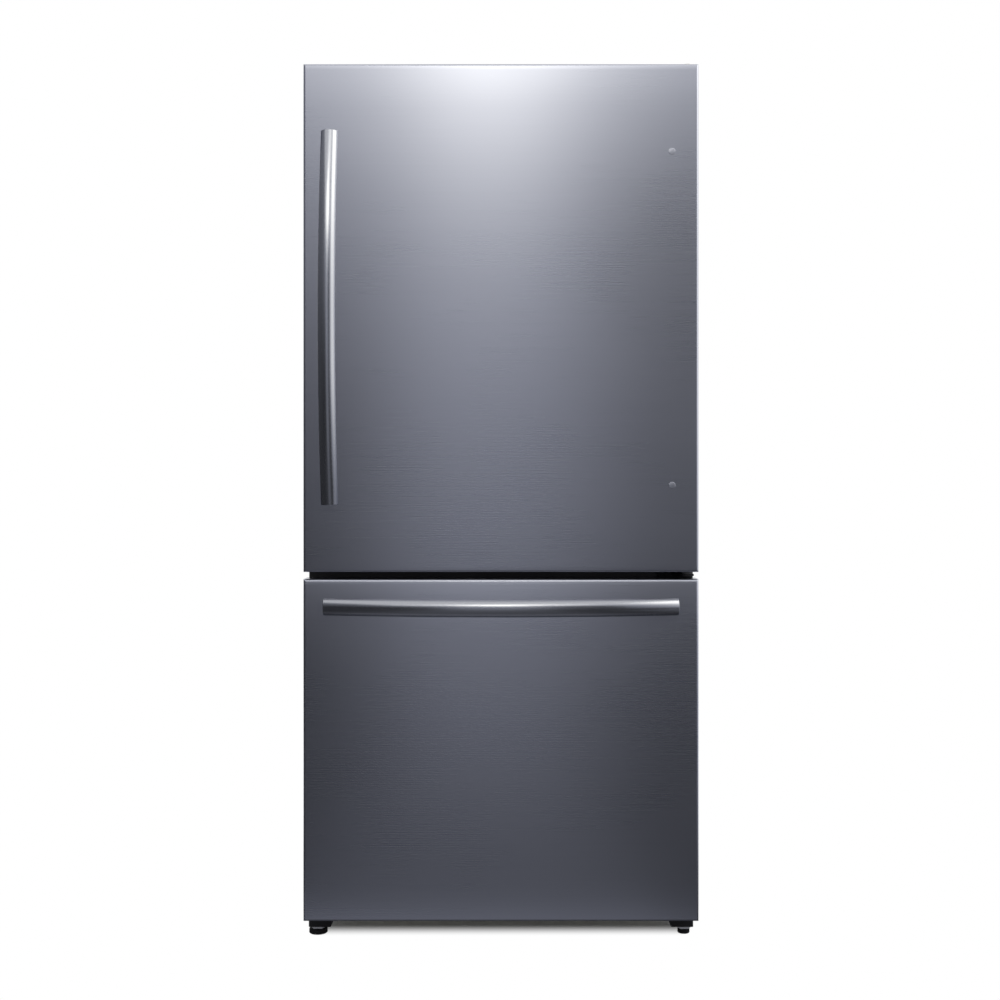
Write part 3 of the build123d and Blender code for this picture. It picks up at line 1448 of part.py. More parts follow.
def levelling_foot(x, pad_radius):
    """A levelling foot: a moulded pad, a hexagon collar and a stud that screws into the bracket."""
    pad = rod((x, foot_y, 0), (0, 0, 1), pad_radius, pad_height)
    collar = extrude(RegularPolygon(foot_nut_across / 2, 6, major_radius=False), foot_nut_height)
    foot = pad + Pos(x, foot_y, pad_height) * collar
    return [foot + rod((x, foot_y, pad_height), (0, 0, 1), foot_stud_radius, foot_stud_top - pad_height)]


def rear_roller_brackets():
    """Folded brackets under the base sheet, each with the pin that carries a roller."""
    brackets = []
    cheek = roller_width / 2 + roller_side_gap
    for x in (-roller_x, roller_x):
        outer = cheek + roller_sheet
        y_span = about(roller_y, roller_bracket_depth)
        body = block(about(x, 2 * outer), y_span, (roller_radius / 2, cabinet_bottom))
        hollow_z = (0, cabinet_bottom - roller_sheet)
        hollow_y = (y_span[0] - through, y_span[1] + through)
        body -= block(about(x, 2 * cheek), hollow_y, hollow_z)
        brackets.append(body + rod((x - outer, roller_y, roller_radius), (1, 0, 0), roller_pin_radius,
                                   2 * outer))
    return brackets


def rear_roller(x):
    """A rear roller, bored for its pin."""
    wheel = rod((x - roller_width / 2, roller_y, roller_radius), (1, 0, 0), roller_radius, roller_width)
    bore = roller_pin_radius + pin_clearance
    return [wheel - rod((x - roller_width, roller_y, roller_radius), (1, 0, 0), bore, 2 * roller_width)]


pieces = {
    "cabinet_shell": cabinet_shell(),
    "cabinet_back_panel": cabinet_back_panel(),
    "insulation": insulation(),
    "fridge_liner": fridge_liner(),
    "freezer_liner": freezer_liner(),
    "front_cross_rails": front_cross_rails(),
    "base_frame": base_frame(),
    "machine_cover": machine_cover(),
    "power_inlet": power_inlet(),
    "compressor": compressor(),
    "condenser_coil": condenser_coil(),
    "condenser_fan_shroud": condenser_fan_shroud(),
    "condenser_fan": condenser_fan(),
    "evaporator_coil": evaporator_coil(),
    "freezer_back_panel": freezer_back_panel(),
    "evaporator_fan": evaporator_fan(),
    "shelf_frames": shelf_frames(),
    "shelf_glasses": shelf_glasses(),
    "crisper_cover": crisper_cover(),
    "crisper_left": crisper(-1),
    "crisper_right": crisper(1),
    "fridge_air_duct": fridge_air_duct(),
    "control_panel": control_panel(),
    "button_colder": temperature_button(-button_spacing / 2),
    "button_warmer": temperature_button(button_spacing / 2),
    "light_diffuser": light_diffuser(),
    "top_hinge": top_hinge(),
    "top_hinge_cover": top_hinge_cover(),
    "middle_hinge": middle_hinge(),
    "hinge_screws": hinge_screws(),
    "hinge_bushes": hinge_bushes(),
    "door_skin": door_skin(),
    "door_end_caps": door_end_caps(),
    "door_foam": door_foam(),
    "door_liner": door_liner(),
    "door_gasket": door_gasket(),
    "door_handle": door_handle(),
    "door_handle_posts": door_handle_posts(),
    "handle_hole_plugs": handle_hole_plugs(),
    "dairy_bin": dairy_bin(),
    "dairy_lid": dairy_lid(),
    "door_bin_middle": door_bin_middle(),
    "door_bin_lower": door_bin_lower(),
    "drawer_skin": drawer_skin(),
    "drawer_foam": drawer_foam(),
    "drawer_liner": drawer_liner(),
    "drawer_gasket": drawer_gasket(),
    "drawer_handle": drawer_handle(),
    "drawer_handle_posts": drawer_handle_posts(),
    "drawer_frame": drawer_frame(),
    "freezer_basket": freezer_basket(),
    "freezer_tray": freezer_tray(),
    "slide_outer_rails": slide_outer_rails(),
    "slide_middle_rails": slide_middle_rails(),
    "front_foot_brackets": front_foot_brackets(),
    "foot_left": levelling_foot(-foot_x, left_pad_radius),
    "foot_right": levelling_foot(foot_x, right_pad_radius),
    "rear_roller_brackets": rear_roller_brackets(),
    "roller_left": rear_roller(-roller_x),
    "roller_right": rear_roller(roller_x),
}

os.makedirs("parts", exist_ok=True)
for name, shapes in pieces.items():
    solids = [solid for shape in shapes for solid in shape.solids()]
    export_step(Compound(solids), f"parts/{name}.step")
    print(name, len(solids), round(sum(solid.volume for solid in solids)))
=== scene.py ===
"""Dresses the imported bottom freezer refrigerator: finishes, finer shapes, studio and camera.

Every length is in metres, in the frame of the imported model: +Z up, -Y the front.
"""

from __future__ import annotations

import logging
import math
from dataclasses import dataclass, field
from enum import Enum
from typing import Sequence

import bmesh
import bpy
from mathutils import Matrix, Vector


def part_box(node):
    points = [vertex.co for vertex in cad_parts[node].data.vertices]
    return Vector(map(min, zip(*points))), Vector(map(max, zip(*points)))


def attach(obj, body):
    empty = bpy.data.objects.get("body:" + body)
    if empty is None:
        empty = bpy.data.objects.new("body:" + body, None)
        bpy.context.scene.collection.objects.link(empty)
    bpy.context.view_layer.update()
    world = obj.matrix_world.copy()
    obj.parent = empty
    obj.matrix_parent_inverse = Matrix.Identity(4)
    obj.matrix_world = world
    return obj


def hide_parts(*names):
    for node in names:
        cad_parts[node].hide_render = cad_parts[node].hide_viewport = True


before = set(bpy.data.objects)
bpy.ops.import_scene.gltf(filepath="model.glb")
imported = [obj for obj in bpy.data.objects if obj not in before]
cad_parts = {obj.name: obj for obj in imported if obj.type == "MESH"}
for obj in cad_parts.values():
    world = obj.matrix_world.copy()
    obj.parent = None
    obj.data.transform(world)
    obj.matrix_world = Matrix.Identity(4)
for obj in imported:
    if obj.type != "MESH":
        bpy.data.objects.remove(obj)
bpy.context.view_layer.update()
LOG = logging.getLogger("refrigerator")

Colour = tuple[float, float, float]
Point = tuple[float, float, float]
Span = tuple[float, float]
Socket = bpy.types.NodeSocket

WHOLE: Span = (0.0, 1.0)
UP: Point = (0.0, 0.0, 1.0)
FORWARD: Point = (0.0, -1.0, 0.0)
BACKWARD: Point = (0.0, 1.0, 0.0)
FULL_TURN = 2 * math.pi
QUARTER_TURN = math.pi / 2

# Where nearly all of a noise pattern's values lie, and how strong its finer octaves are.
NOISE_SPAN: Span = (0.3, 0.7)
NOISE_ROUGHNESS = 0.6
# How alike the plain and the rounded normal are, on a flat and on an edge.
EDGE_SPAN: Span = (0.99, 0.86)
EDGE_SAMPLES = 4
# The Mix node's sockets when it mixes colours.
MIX_FACTOR, MIX_FIRST, MIX_SECOND, MIX_RESULT = 0, 6, 7, 2
# A quarter turn, which stretches a brushed finish's highlights across its grain.
ACROSS_GRAIN = 0.25


def about(middle: float, half: float) -> Span:
    """Return the span that reaches the same way on both sides of a middle."""
    return middle - half, middle + half


# ---- Node trees ----
class NodeBoard:
    """The node tree of a new material or world, with short calls that add and join its nodes."""

    def __init__(self, owner: bpy.types.Material | bpy.types.World) -> None:
        """Start with an empty tree.

        Args:
            owner: The material or world.
        """
        self.owner = owner
        owner.use_nodes = True
        self.tree = owner.node_tree
        self.tree.nodes.clear()

    @classmethod
    def material(cls, name: str) -> NodeBoard:
        """Return the board of a new material."""
        return cls(bpy.data.materials.new(name))

    def add(self, kind: str, settings: dict | None = None, sockets: dict | None = None) -> bpy.types.Node:
        """Add one node.

        Args:
            kind: The node's type name.
            settings: Values for the node's own properties.
            sockets: Values, or sockets to join, for its inputs by name or number.

        Returns:
            The new node.
        """
        node = self.tree.nodes.new(kind)
        for key, value in (settings or {}).items():
            setattr(node, key, value)
        for key, value in (sockets or {}).items():
            if isinstance(value, Socket):
                self.tree.links.new(value, node.inputs[key])
            else:
                node.inputs[key].default_value = value
        return node

    def where(self, coordinate: str = "Object") -> Socket:
        """Return a texture coordinate's socket."""
        return self.add("ShaderNodeTexCoord").outputs[coordinate]

    def split(self) -> Sequence[Socket]:
        """Return the sockets of a point's x, y and z on the object."""
        return self.add("ShaderNodeSeparateXYZ", {}, {0: self.where()}).outputs

    def reckon(self, kind: str, first: Socket | float, second: Socket | float | None = None) -> Socket:
        """Take one arithmetic step.

        Args:
            kind: The Math node's operation.
            first: A number or a socket.
            second: A number or a socket, where the operation takes two.

        Returns:
            The result's socket.
        """
        sockets = {0: first} if second is None else {0: first, 1: second}
        return self.add("ShaderNodeMath", {"operation": kind}, sockets).outputs[0]

    def ranged(self, value: Socket, source: Span, target: Span, smooth: bool = False) -> Socket:
        """Map a value from one range to another, held at the ends.

        Args:
            value: The socket to map.
            source: The range it comes in.
            target: The range it is mapped to.
            smooth: Whether the ends ease in and out.

        Returns:
            The result's socket.
        """
        kind = "SMOOTHSTEP" if smooth else "LINEAR"
        sockets = {"Value": value, "From Min": source[0], "From Max": source[1],
                   "To Min": target[0], "To Max": target[1]}
        return self.add("ShaderNodeMapRange", {"interpolation_type": kind}, sockets).outputs["Result"]

    def noise(self, scale: Point, detail: float, coordinate: str = "Object") -> Socket:
        """Add a stretched noise pattern.

        Args:
            scale: How many features there are to the metre along each axis.
            detail: The number of finer octaves.
            coordinate: The texture coordinate it follows.

        Returns:
            The pattern's value, about 0.5 on average.
        """
        place = self.add("ShaderNodeMapping", {}, {"Vector": self.where(coordinate), "Scale": scale})
        sockets = {"Vector": place.outputs[0], "Scale": 1.0, "Detail": detail, "Roughness": NOISE_ROUGHNESS}
        return self.add("ShaderNodeTexNoise", {}, sockets).outputs["Fac"]

    def tinted(self, factor: Socket, low: Colour | Socket, high: Colour | Socket) -> Socket:
        """Blend two colours.

        Args:
            factor: 0 for the first colour, 1 for the second.
            low: The first colour, or its socket.
            high: The second colour, or its socket.

        Returns:
            The blended colour's socket.
        """
        sockets = {MIX_FACTOR: factor}
        for key, colour in ((MIX_FIRST, low), (MIX_SECOND, high)):
            sockets[key] = colour if isinstance(colour, Socket) else (*colour, 1.0)
        return self.add("ShaderNodeMix", {"data_type": "RGBA"}, sockets).outputs[MIX_RESULT]

    def worn_edges(self, radius: float) -> tuple[Socket, Socket]:
        """Round the edges in the shading, and find them.

        Args:
            radius: The radius of the rounding.

        Returns:
            The softened normal, and a mask that is 1 on the edges.
        """
        soft = self.add("ShaderNodeBevel", {"samples": EDGE_SAMPLES}, {"Radius": radius}).outputs["Normal"]
        plain = self.add("ShaderNodeNewGeometry").outputs["Normal"]
        alike = self.add("ShaderNodeVectorMath", {"operation": "DOT_PRODUCT"}, {0: soft, 1: plain})
        return soft, self.ranged(alike.outputs["Value"], EDGE_SPAN, WHOLE)

    def bump(self, height: Socket, depth: float, normal: Socket | None = None) -> Socket:
        """Turn a height pattern into a bumped normal.

        Args:
            height: The pattern, from 0 to 1.
            depth: How deep the pattern is, in metres.
            normal: The normal that the bumps stand on.

        Returns:
            The bumped normal's socket.
        """
        sockets = {"Height": height, "Distance": depth, "Strength": 1.0}
        if normal is not None:
            sockets["Normal"] = normal
        return self.add("ShaderNodeBump", {}, sockets).outputs["Normal"]

    def principled(self, sockets: dict) -> bpy.types.Material:
        """Shade the surface with these inputs and return the material."""
        return self.finish(self.add("ShaderNodeBsdfPrincipled", {}, sockets).outputs[0])

    def finish(self, shader: Socket) -> bpy.types.Material:
        """Join the shader to the output and return the material."""
        self.add("ShaderNodeOutputMaterial", {}, {"Surface": shader})
        return self.owner


# ---- Finishes ----
def lighter(colour: Colour, factor: float) -> Colour:
    """Return the colour with each part multiplied, held at 1."""
    return tuple(min(1.0, part * factor) for part in colour)


@dataclass(frozen=True)
class Finish:
    """What a piece's surface is made of."""

    name: str
    colour: Colour
    roughness: float

    def build(self) -> bpy.types.Material:
        """Make the material."""
        raise NotImplementedError

    def material(self) -> bpy.types.Material:
        """Return the finish's material, made when it is first asked for."""
        return bpy.data.materials.get(self.name) or self.build()

    def shaded(self, board: NodeBoard, pattern: Socket, shades: Span) -> Socket:
        """Return the colour times the first shade where a pattern is 0, and the second where it is 1."""
        return board.tinted(pattern, lighter(self.colour, shades[0]), lighter(self.colour, shades[1]))

    def roughened(self, board: NodeBoard, pattern: Socket, source: Span, spread: Span) -> Socket:
        """Return the finish's roughness, which a pattern moves within a spread."""
        return board.ranged(pattern, source, (self.roughness + spread[0], self.roughness + spread[1]))


class Grain(Enum):
    """What a brushed finish's grain follows, by the name of the texture coordinate."""

    LEVEL = "Object"
    LENGTH = "UV"


# The scales of the fine and the coarse streaks, and the settings of the tangent that runs along them.
GRAIN_SCALES: dict[Grain, tuple[Point, Point]] = {
    Grain.LEVEL: ((5.0, 5.0, 1500.0), (1.5, 1.5, 420.0)),
    Grain.LENGTH: ((6.0, 1800.0, 1.0), (2.0, 300.0, 1.0)),
}
GRAIN_TANGENTS: dict[Grain, dict[str, str]] = {
    Grain.LEVEL: {"direction_type": "RADIAL", "axis": "Z"},
    Grain.LENGTH: {"direction_type": "UV_MAP"},
}


@dataclass(frozen=True)
class BrushedSteel(Finish):
    """Steel with a fine one-way grain that stretches its highlights across the grain."""

    grain: Grain
    streaks: float
    stretch: float
    depth: float = 0.0000003
    lean_top: float = 0.0
    lean_slope: float = 0.0
    lean_reach: float = 0.115
    fine_share: float = 0.7
    patch_scale: Point = (2.2, 2.2, 3.0)
    streak_span: Span = (0.25, 0.75)
    rough_spread: Span = (-0.012, 0.012)

    def build(self) -> bpy.types.Material:
        """Make the brushed material.

        Returns:
            The material, with fine and coarse streaks in its colour, roughness and bump.
        """
        board = NodeBoard.material(self.name)
        fine_scale, coarse_scale = GRAIN_SCALES[self.grain]
        fine = board.noise(fine_scale, detail=2.0, coordinate=self.grain.value)
        coarse = board.noise(coarse_scale, detail=3.0, coordinate=self.grain.value)
        along = board.add("ShaderNodeTangent", GRAIN_TANGENTS[self.grain])
        base = self.leaning(board) if self.lean_slope else None
        patches = board.noise(self.patch_scale, detail=2.0)
        streak = board.reckon("ADD", board.reckon("MULTIPLY", fine, self.fine_share),
                              board.reckon("MULTIPLY", coarse, 1 - self.fine_share))
        colour = self.shaded(board, board.ranged(streak, NOISE_SPAN, WHOLE), about(1.0, self.streaks))
        rough = self.roughened(board, streak, self.streak_span, self.rough_spread)
        rough = board.reckon("ADD", rough, board.ranged(patches, NOISE_SPAN, self.rough_spread))
        return board.principled({
            "Base Color": colour, "Metallic": 1.0, "Roughness": rough, "Anisotropic": self.stretch,
            "Anisotropic Rotation": ACROSS_GRAIN, "Tangent": along.outputs[0],
            "Normal": board.bump(streak, self.depth, base),
        })

    def leaning(self, board: NodeBoard) -> Socket:
        """Let the shading lean back toward the face's upper edge, as a slightly domed sheet does.

        Args:
            board: The material's node tree.

        Returns:
            The leaning normal's socket.
        """
        above = board.reckon("SUBTRACT", board.split()[2], self.lean_top)
        below = board.reckon("EXPONENT", board.reckon("DIVIDE", above, self.lean_reach))
        return board.bump(board.reckon("SUBTRACT", 1.0, below), self.lean_slope * self.lean_reach)


@dataclass(frozen=True)
class PaintedSheet(Finish):
    """Baked paint on sheet metal: a faint orange peel, fine dust and lighter, worn edges.

    Where a front y is given, the face that lies at that y is painted nearly black: a painted shade for the
    shadowed gap between door and drawer.
    """

    peel: float = 0.00004
    peel_scale: Point = (420.0, 420.0, 420.0)
    edge_radius: float = 0.0008
    metallic: float = 0.0
    gloss: float = 0.5
    dust_scale: Point = (9.0, 9.0, 6.0)
    dust_shades: Span = (0.975, 1.025)
    rough_spread: Span = (-0.02, 0.03)
    wear: float = 0.35
    worn_shade: float = 1.5
    shaded_front_y: float | None = None
    front_shade: Colour = (0.012, 0.012, 0.012)
    front_shade_edge: Span = (0.0004, 0.0008)

    def build(self) -> bpy.types.Material:
        """Make the painted material.

        Returns:
            The material.
        """
        board = NodeBoard.material(self.name)
        soft, edge = board.worn_edges(self.edge_radius)
        dust = board.noise(self.dust_scale, detail=4.0)
        peel = board.noise(self.peel_scale, detail=1.0)
        colour = self.shaded(board, board.ranged(dust, NOISE_SPAN, WHOLE), self.dust_shades)
        worn = lighter(self.colour, self.worn_shade)
        coat = board.tinted(board.reckon("MULTIPLY", edge, self.wear), colour, worn)
        # Painted shade: the front face turns nearly black, as if in the door gap's shadow.
        if self.shaded_front_y is not None:
            limit = (self.shaded_front_y + self.front_shade_edge[0], self.shaded_front_y + self.front_shade_edge[1])
            coat = board.tinted(board.ranged(board.split()[1], limit, WHOLE), self.front_shade, coat)
        return board.principled({
            "Base Color": coat, "Metallic": self.metallic,
            "Roughness": self.roughened(board, dust, NOISE_SPAN, self.rough_spread),
            "Specular IOR Level": self.gloss, "Normal": board.bump(peel, self.peel, soft),
        })


@dataclass(frozen=True)
class ZincPlate(Finish):
    """Bright zinc plating with the spangled look of pressed brackets."""

    edge_radius: float = 0.0005
    spangle_scale: float = 130.0
    spangle_shades: Span = (0.86, 1.08)
    rough_spread: Span = (-0.06, 0.08)
    polish: float = 0.1

    def build(self) -> bpy.types.Material:
        """Make the plated material, rubbed smoother on its edges.

        Returns:
            The material.
        """
        board = NodeBoard.material(self.name)
        soft, edge = board.worn_edges(self.edge_radius)
        cells = board.add("ShaderNodeTexVoronoi", {}, {"Vector": board.where(), "Scale": self.spangle_scale})
        grey = board.add("ShaderNodeRGBToBW", {}, {"Color": cells.outputs["Color"]}).outputs[0]
        rough = self.roughened(board, grey, WHOLE, self.rough_spread)
        return board.principled({
            "Base Color": self.shaded(board, grey, self.spangle_shades), "Metallic": 1.0,
            "Roughness": board.reckon("SUBTRACT", rough, board.reckon("MULTIPLY", edge, self.polish)),
            "Normal": soft,
        })


@dataclass(frozen=True)
class MouldedPlastic(Finish):
    """Opaque moulded or vacuum-formed plastic with a fine surface texture."""

    texture: float = 0.00002
    texture_scale: float = 900.0
    edge_radius: float = 0.0008
    depth_glow: float = 0.0
    glow_reach: float = 0.004
    cloud_scale: Point = (7.0, 7.0, 7.0)
    cloud_shades: Span = (0.96, 1.02)
    rough_spread: Span = (-0.03, 0.05)
    polish: float = 0.06

    def build(self) -> bpy.types.Material:
        """Make the plastic material, rubbed smoother on its edges.

        Returns:
            The material.
        """
        board = NodeBoard.material(self.name)
        soft, edge = board.worn_edges(self.edge_radius)
        grain = board.noise((self.texture_scale,) * 3, detail=2.0)
        clouds = board.noise(self.cloud_scale, detail=3.0)
        rough = self.roughened(board, grain, NOISE_SPAN, self.rough_spread)
        return board.principled({
            "Base Color": self.shaded(board, board.ranged(clouds, NOISE_SPAN, WHOLE), self.cloud_shades),
            "Roughness": board.reckon("SUBTRACT", rough, board.reckon("MULTIPLY", edge, self.polish)),
            "Subsurface Weight": self.depth_glow, "Subsurface Scale": self.glow_reach,
            "Normal": board.bump(grain, self.texture, soft),
        })


@dataclass(frozen=True)
class ClearMoulding(Finish):
    """Clear, faintly tinted plastic or glass that shows what is behind it."""

    index: float = 1.49
    frost: float = 0.03
    clearness: float = 0.92
    flow_scale: Point = (6.0, 6.0, 9.0)
    flow_shades: Span = (0.97, 1.0)
    flow_depth: float = 0.0006

    def build(self) -> bpy.types.Material:
        """Make the see-through material.

        Returns:
            The material, with flow marks that bend what shows through it a little.
        """
        board = NodeBoard.material(self.name)
        flow = board.noise(self.flow_scale, detail=2.0)
        return board.principled({
            "Base Color": self.shaded(board, flow, self.flow_shades),
            "Roughness": self.roughened(board, flow, NOISE_SPAN, (0.0, self.frost)),
            "Transmission Weight": self.clearness, "IOR": self.index,
            "Normal": board.bump(flow, self.flow_depth),
        })


@dataclass(frozen=True)
class SoftRubber(Finish):
    """Matt rubber or soft vinyl with a dusty bloom."""

    gloss: float = 0.5
    edge_radius: float = 0.0006
    bloom_scale: Point = (40.0, 40.0, 40.0)
    bloom_span: Span = (0.35, 0.7)
    bloom_shades: Span = (1.0, 1.35)
    rough_spread: Span = (-0.08, 0.08)
    grain_scale: Point = (1500.0, 1500.0, 1500.0)
    grain_depth: float = 0.00003

    def build(self) -> bpy.types.Material:
        """Make the rubber material.

        Returns:
            The material.
        """
        board = NodeBoard.material(self.name)
        soft, _ = board.worn_edges(self.edge_radius)
        bloom = board.noise(self.bloom_scale, detail=4.0)
        grain = board.noise(self.grain_scale, detail=1.0)
        return board.principled({
            "Base Color": self.shaded(board, board.ranged(bloom, self.bloom_span, WHOLE), self.bloom_shades),
            "Roughness": self.roughened(board, bloom, NOISE_SPAN, self.rough_spread),
            "Specular IOR Level": self.gloss, "Normal": board.bump(grain, self.grain_depth, soft),
        })


@dataclass(frozen=True)
class FoamCore(Finish):
    """Rigid foam with open cells on its skin."""

    cell_scale: float = 380.0
    cell_shades: Span = (0.8, 1.0)
    cell_depth: float = 0.0006

    def build(self) -> bpy.types.Material:
        """Make the foam material.

        Returns:
            The material.
        """
        board = NodeBoard.material(self.name)
        foam = board.add("ShaderNodeTexVoronoi", {}, {"Vector": board.where(), "Scale": self.cell_scale})
        cells = foam.outputs["Distance"]
        return board.principled({
            "Base Color": self.shaded(board, cells, self.cell_shades), "Roughness": self.roughness,
            "Normal": board.bump(cells, self.cell_depth),
        })


FRONT_COLOUR: Colour = (0.424, 0.438, 0.500)
STEEL_DOOR = BrushedSteel("brushed_door_steel", FRONT_COLOUR, 0.28, Grain.LEVEL, 0.018, 0.4)
STEEL_DRAWER = BrushedSteel("brushed_drawer_steel", FRONT_COLOUR, 0.28, Grain.LEVEL, 0.018, 0.4,
                            lean_top=0.736, lean_slope=0.135)
STEEL_HANDLE = BrushedSteel("brushed_handle_steel", (0.40, 0.41, 0.445), 0.215, Grain.LENGTH, 0.03, 0.5,
                            depth=0.0000001)
STEEL_PLUG = BrushedSteel("brushed_plug_steel", (0.375, 0.385, 0.44), 0.42, Grain.LEVEL, 0.03, 0.2)
# The cabinet's front face carries a painted shade, nearly black, for the door gap's shadow.
CABINET_PAINT = PaintedSheet("cabinet_grey_paint", (0.17, 0.175, 0.19), 0.42,
                             shaded_front_y=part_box("cabinet_shell")[0].y)
# Near-black paint on the rails behind the door gap: a painted shade for the gap's shadow.
RAIL_SHADE_PAINT = PaintedSheet("rail_painted_shade", (0.04, 0.04, 0.045), 0.5, gloss=0.3)
BACK_SHEET = PaintedSheet("back_sheet_coating", (0.46, 0.47, 0.48), 0.38, metallic=0.3)
BLACK_STEEL = PaintedSheet("black_steel_paint", (0.012, 0.012, 0.014), 0.45, gloss=0.15)
COIL_BLACK = PaintedSheet("compressor_black_enamel", (0.014, 0.014, 0.015), 0.28, peel=0.00008)
COLLAR_STEEL = PaintedSheet("foot_collar_coating", (0.36, 0.365, 0.41), 0.42, metallic=0.2)
ZINC = ZincPlate("zinc_plated_steel", (0.62, 0.61, 0.57), 0.34)
BASE_ZINC = ZincPlate("base_galvanised_steel", (0.58, 0.61, 0.60), 0.36)
COIL_METAL = ZincPlate("evaporator_aluminium", (0.72, 0.73, 0.74), 0.30)
LINER_WHITE = MouldedPlastic("liner_white_plastic", (0.78, 0.79, 0.80), 0.22, texture=0.00001,
                             texture_scale=260.0, edge_radius=0.0015, depth_glow=0.05)
TRIM_GREY = MouldedPlastic("trim_grey_plastic", (0.12, 0.125, 0.135), 0.42)
COVER_GREY = MouldedPlastic("dark_cover_plastic", (0.045, 0.045, 0.05), 0.45)
FAN_PLASTIC = MouldedPlastic("fan_grey_plastic", (0.42, 0.44, 0.46), 0.4)
ROLLER_PLASTIC = MouldedPlastic("roller_black_plastic", (0.02, 0.02, 0.02), 0.5)
BUSH_PLASTIC = MouldedPlastic("bush_dark_plastic", (0.05, 0.05, 0.055), 0.4)
BUTTON_PLASTIC = MouldedPlastic("button_pale_plastic", (0.56, 0.57, 0.58), 0.3)
DIFFUSER = MouldedPlastic("light_diffuser_plastic", (0.86, 0.86, 0.83), 0.3, texture=0.00006,
                          texture_scale=300.0, edge_radius=0.001, depth_glow=0.3)
CLEAR_BIN = ClearMoulding("clear_bin_plastic", (0.93, 0.97, 0.985), 0.04)
CRISPER_CLEAR = ClearMoulding("crisper_clear_plastic", (0.90, 0.955, 0.975), 0.08, frost=0.06)
SHELF_GLASS = ClearMoulding("shelf_tempered_glass", (0.83, 0.94, 0.90), 0.01, index=1.52, frost=0.01)
SEAL_VINYL = SoftRubber("door_seal_vinyl", (0.055, 0.055, 0.06), 0.6, gloss=0.3)
FOOT_RUBBER = SoftRubber("foot_black_rubber", (0.008, 0.008, 0.009), 0.6, gloss=0.15)
FOAM = FoamCore("insulation_foam", (0.62, 0.61, 0.54), 0.9)


# ---- Meshes ----
# Points nearer than this are welded, and edges under this angle in degrees are shaded smooth.
WELD = 1e-7
SMOOTH_BELOW = 35.0
# Facets across a rounded edge, round a coil's tube, and along its half-circle bends.
ROUND_STEPS = 3
TUBE_SIDES = 14
BEND_STEPS = 16


def circle(radius: float, height: float, sides: int) -> list[Vector]:
    """Return the corners of a level ring about the z axis."""
    turns = [FULL_TURN * step / sides for step in range(sides)]
    return [Vector((radius * math.cos(turn), radius * math.sin(turn), height)) for turn in turns]


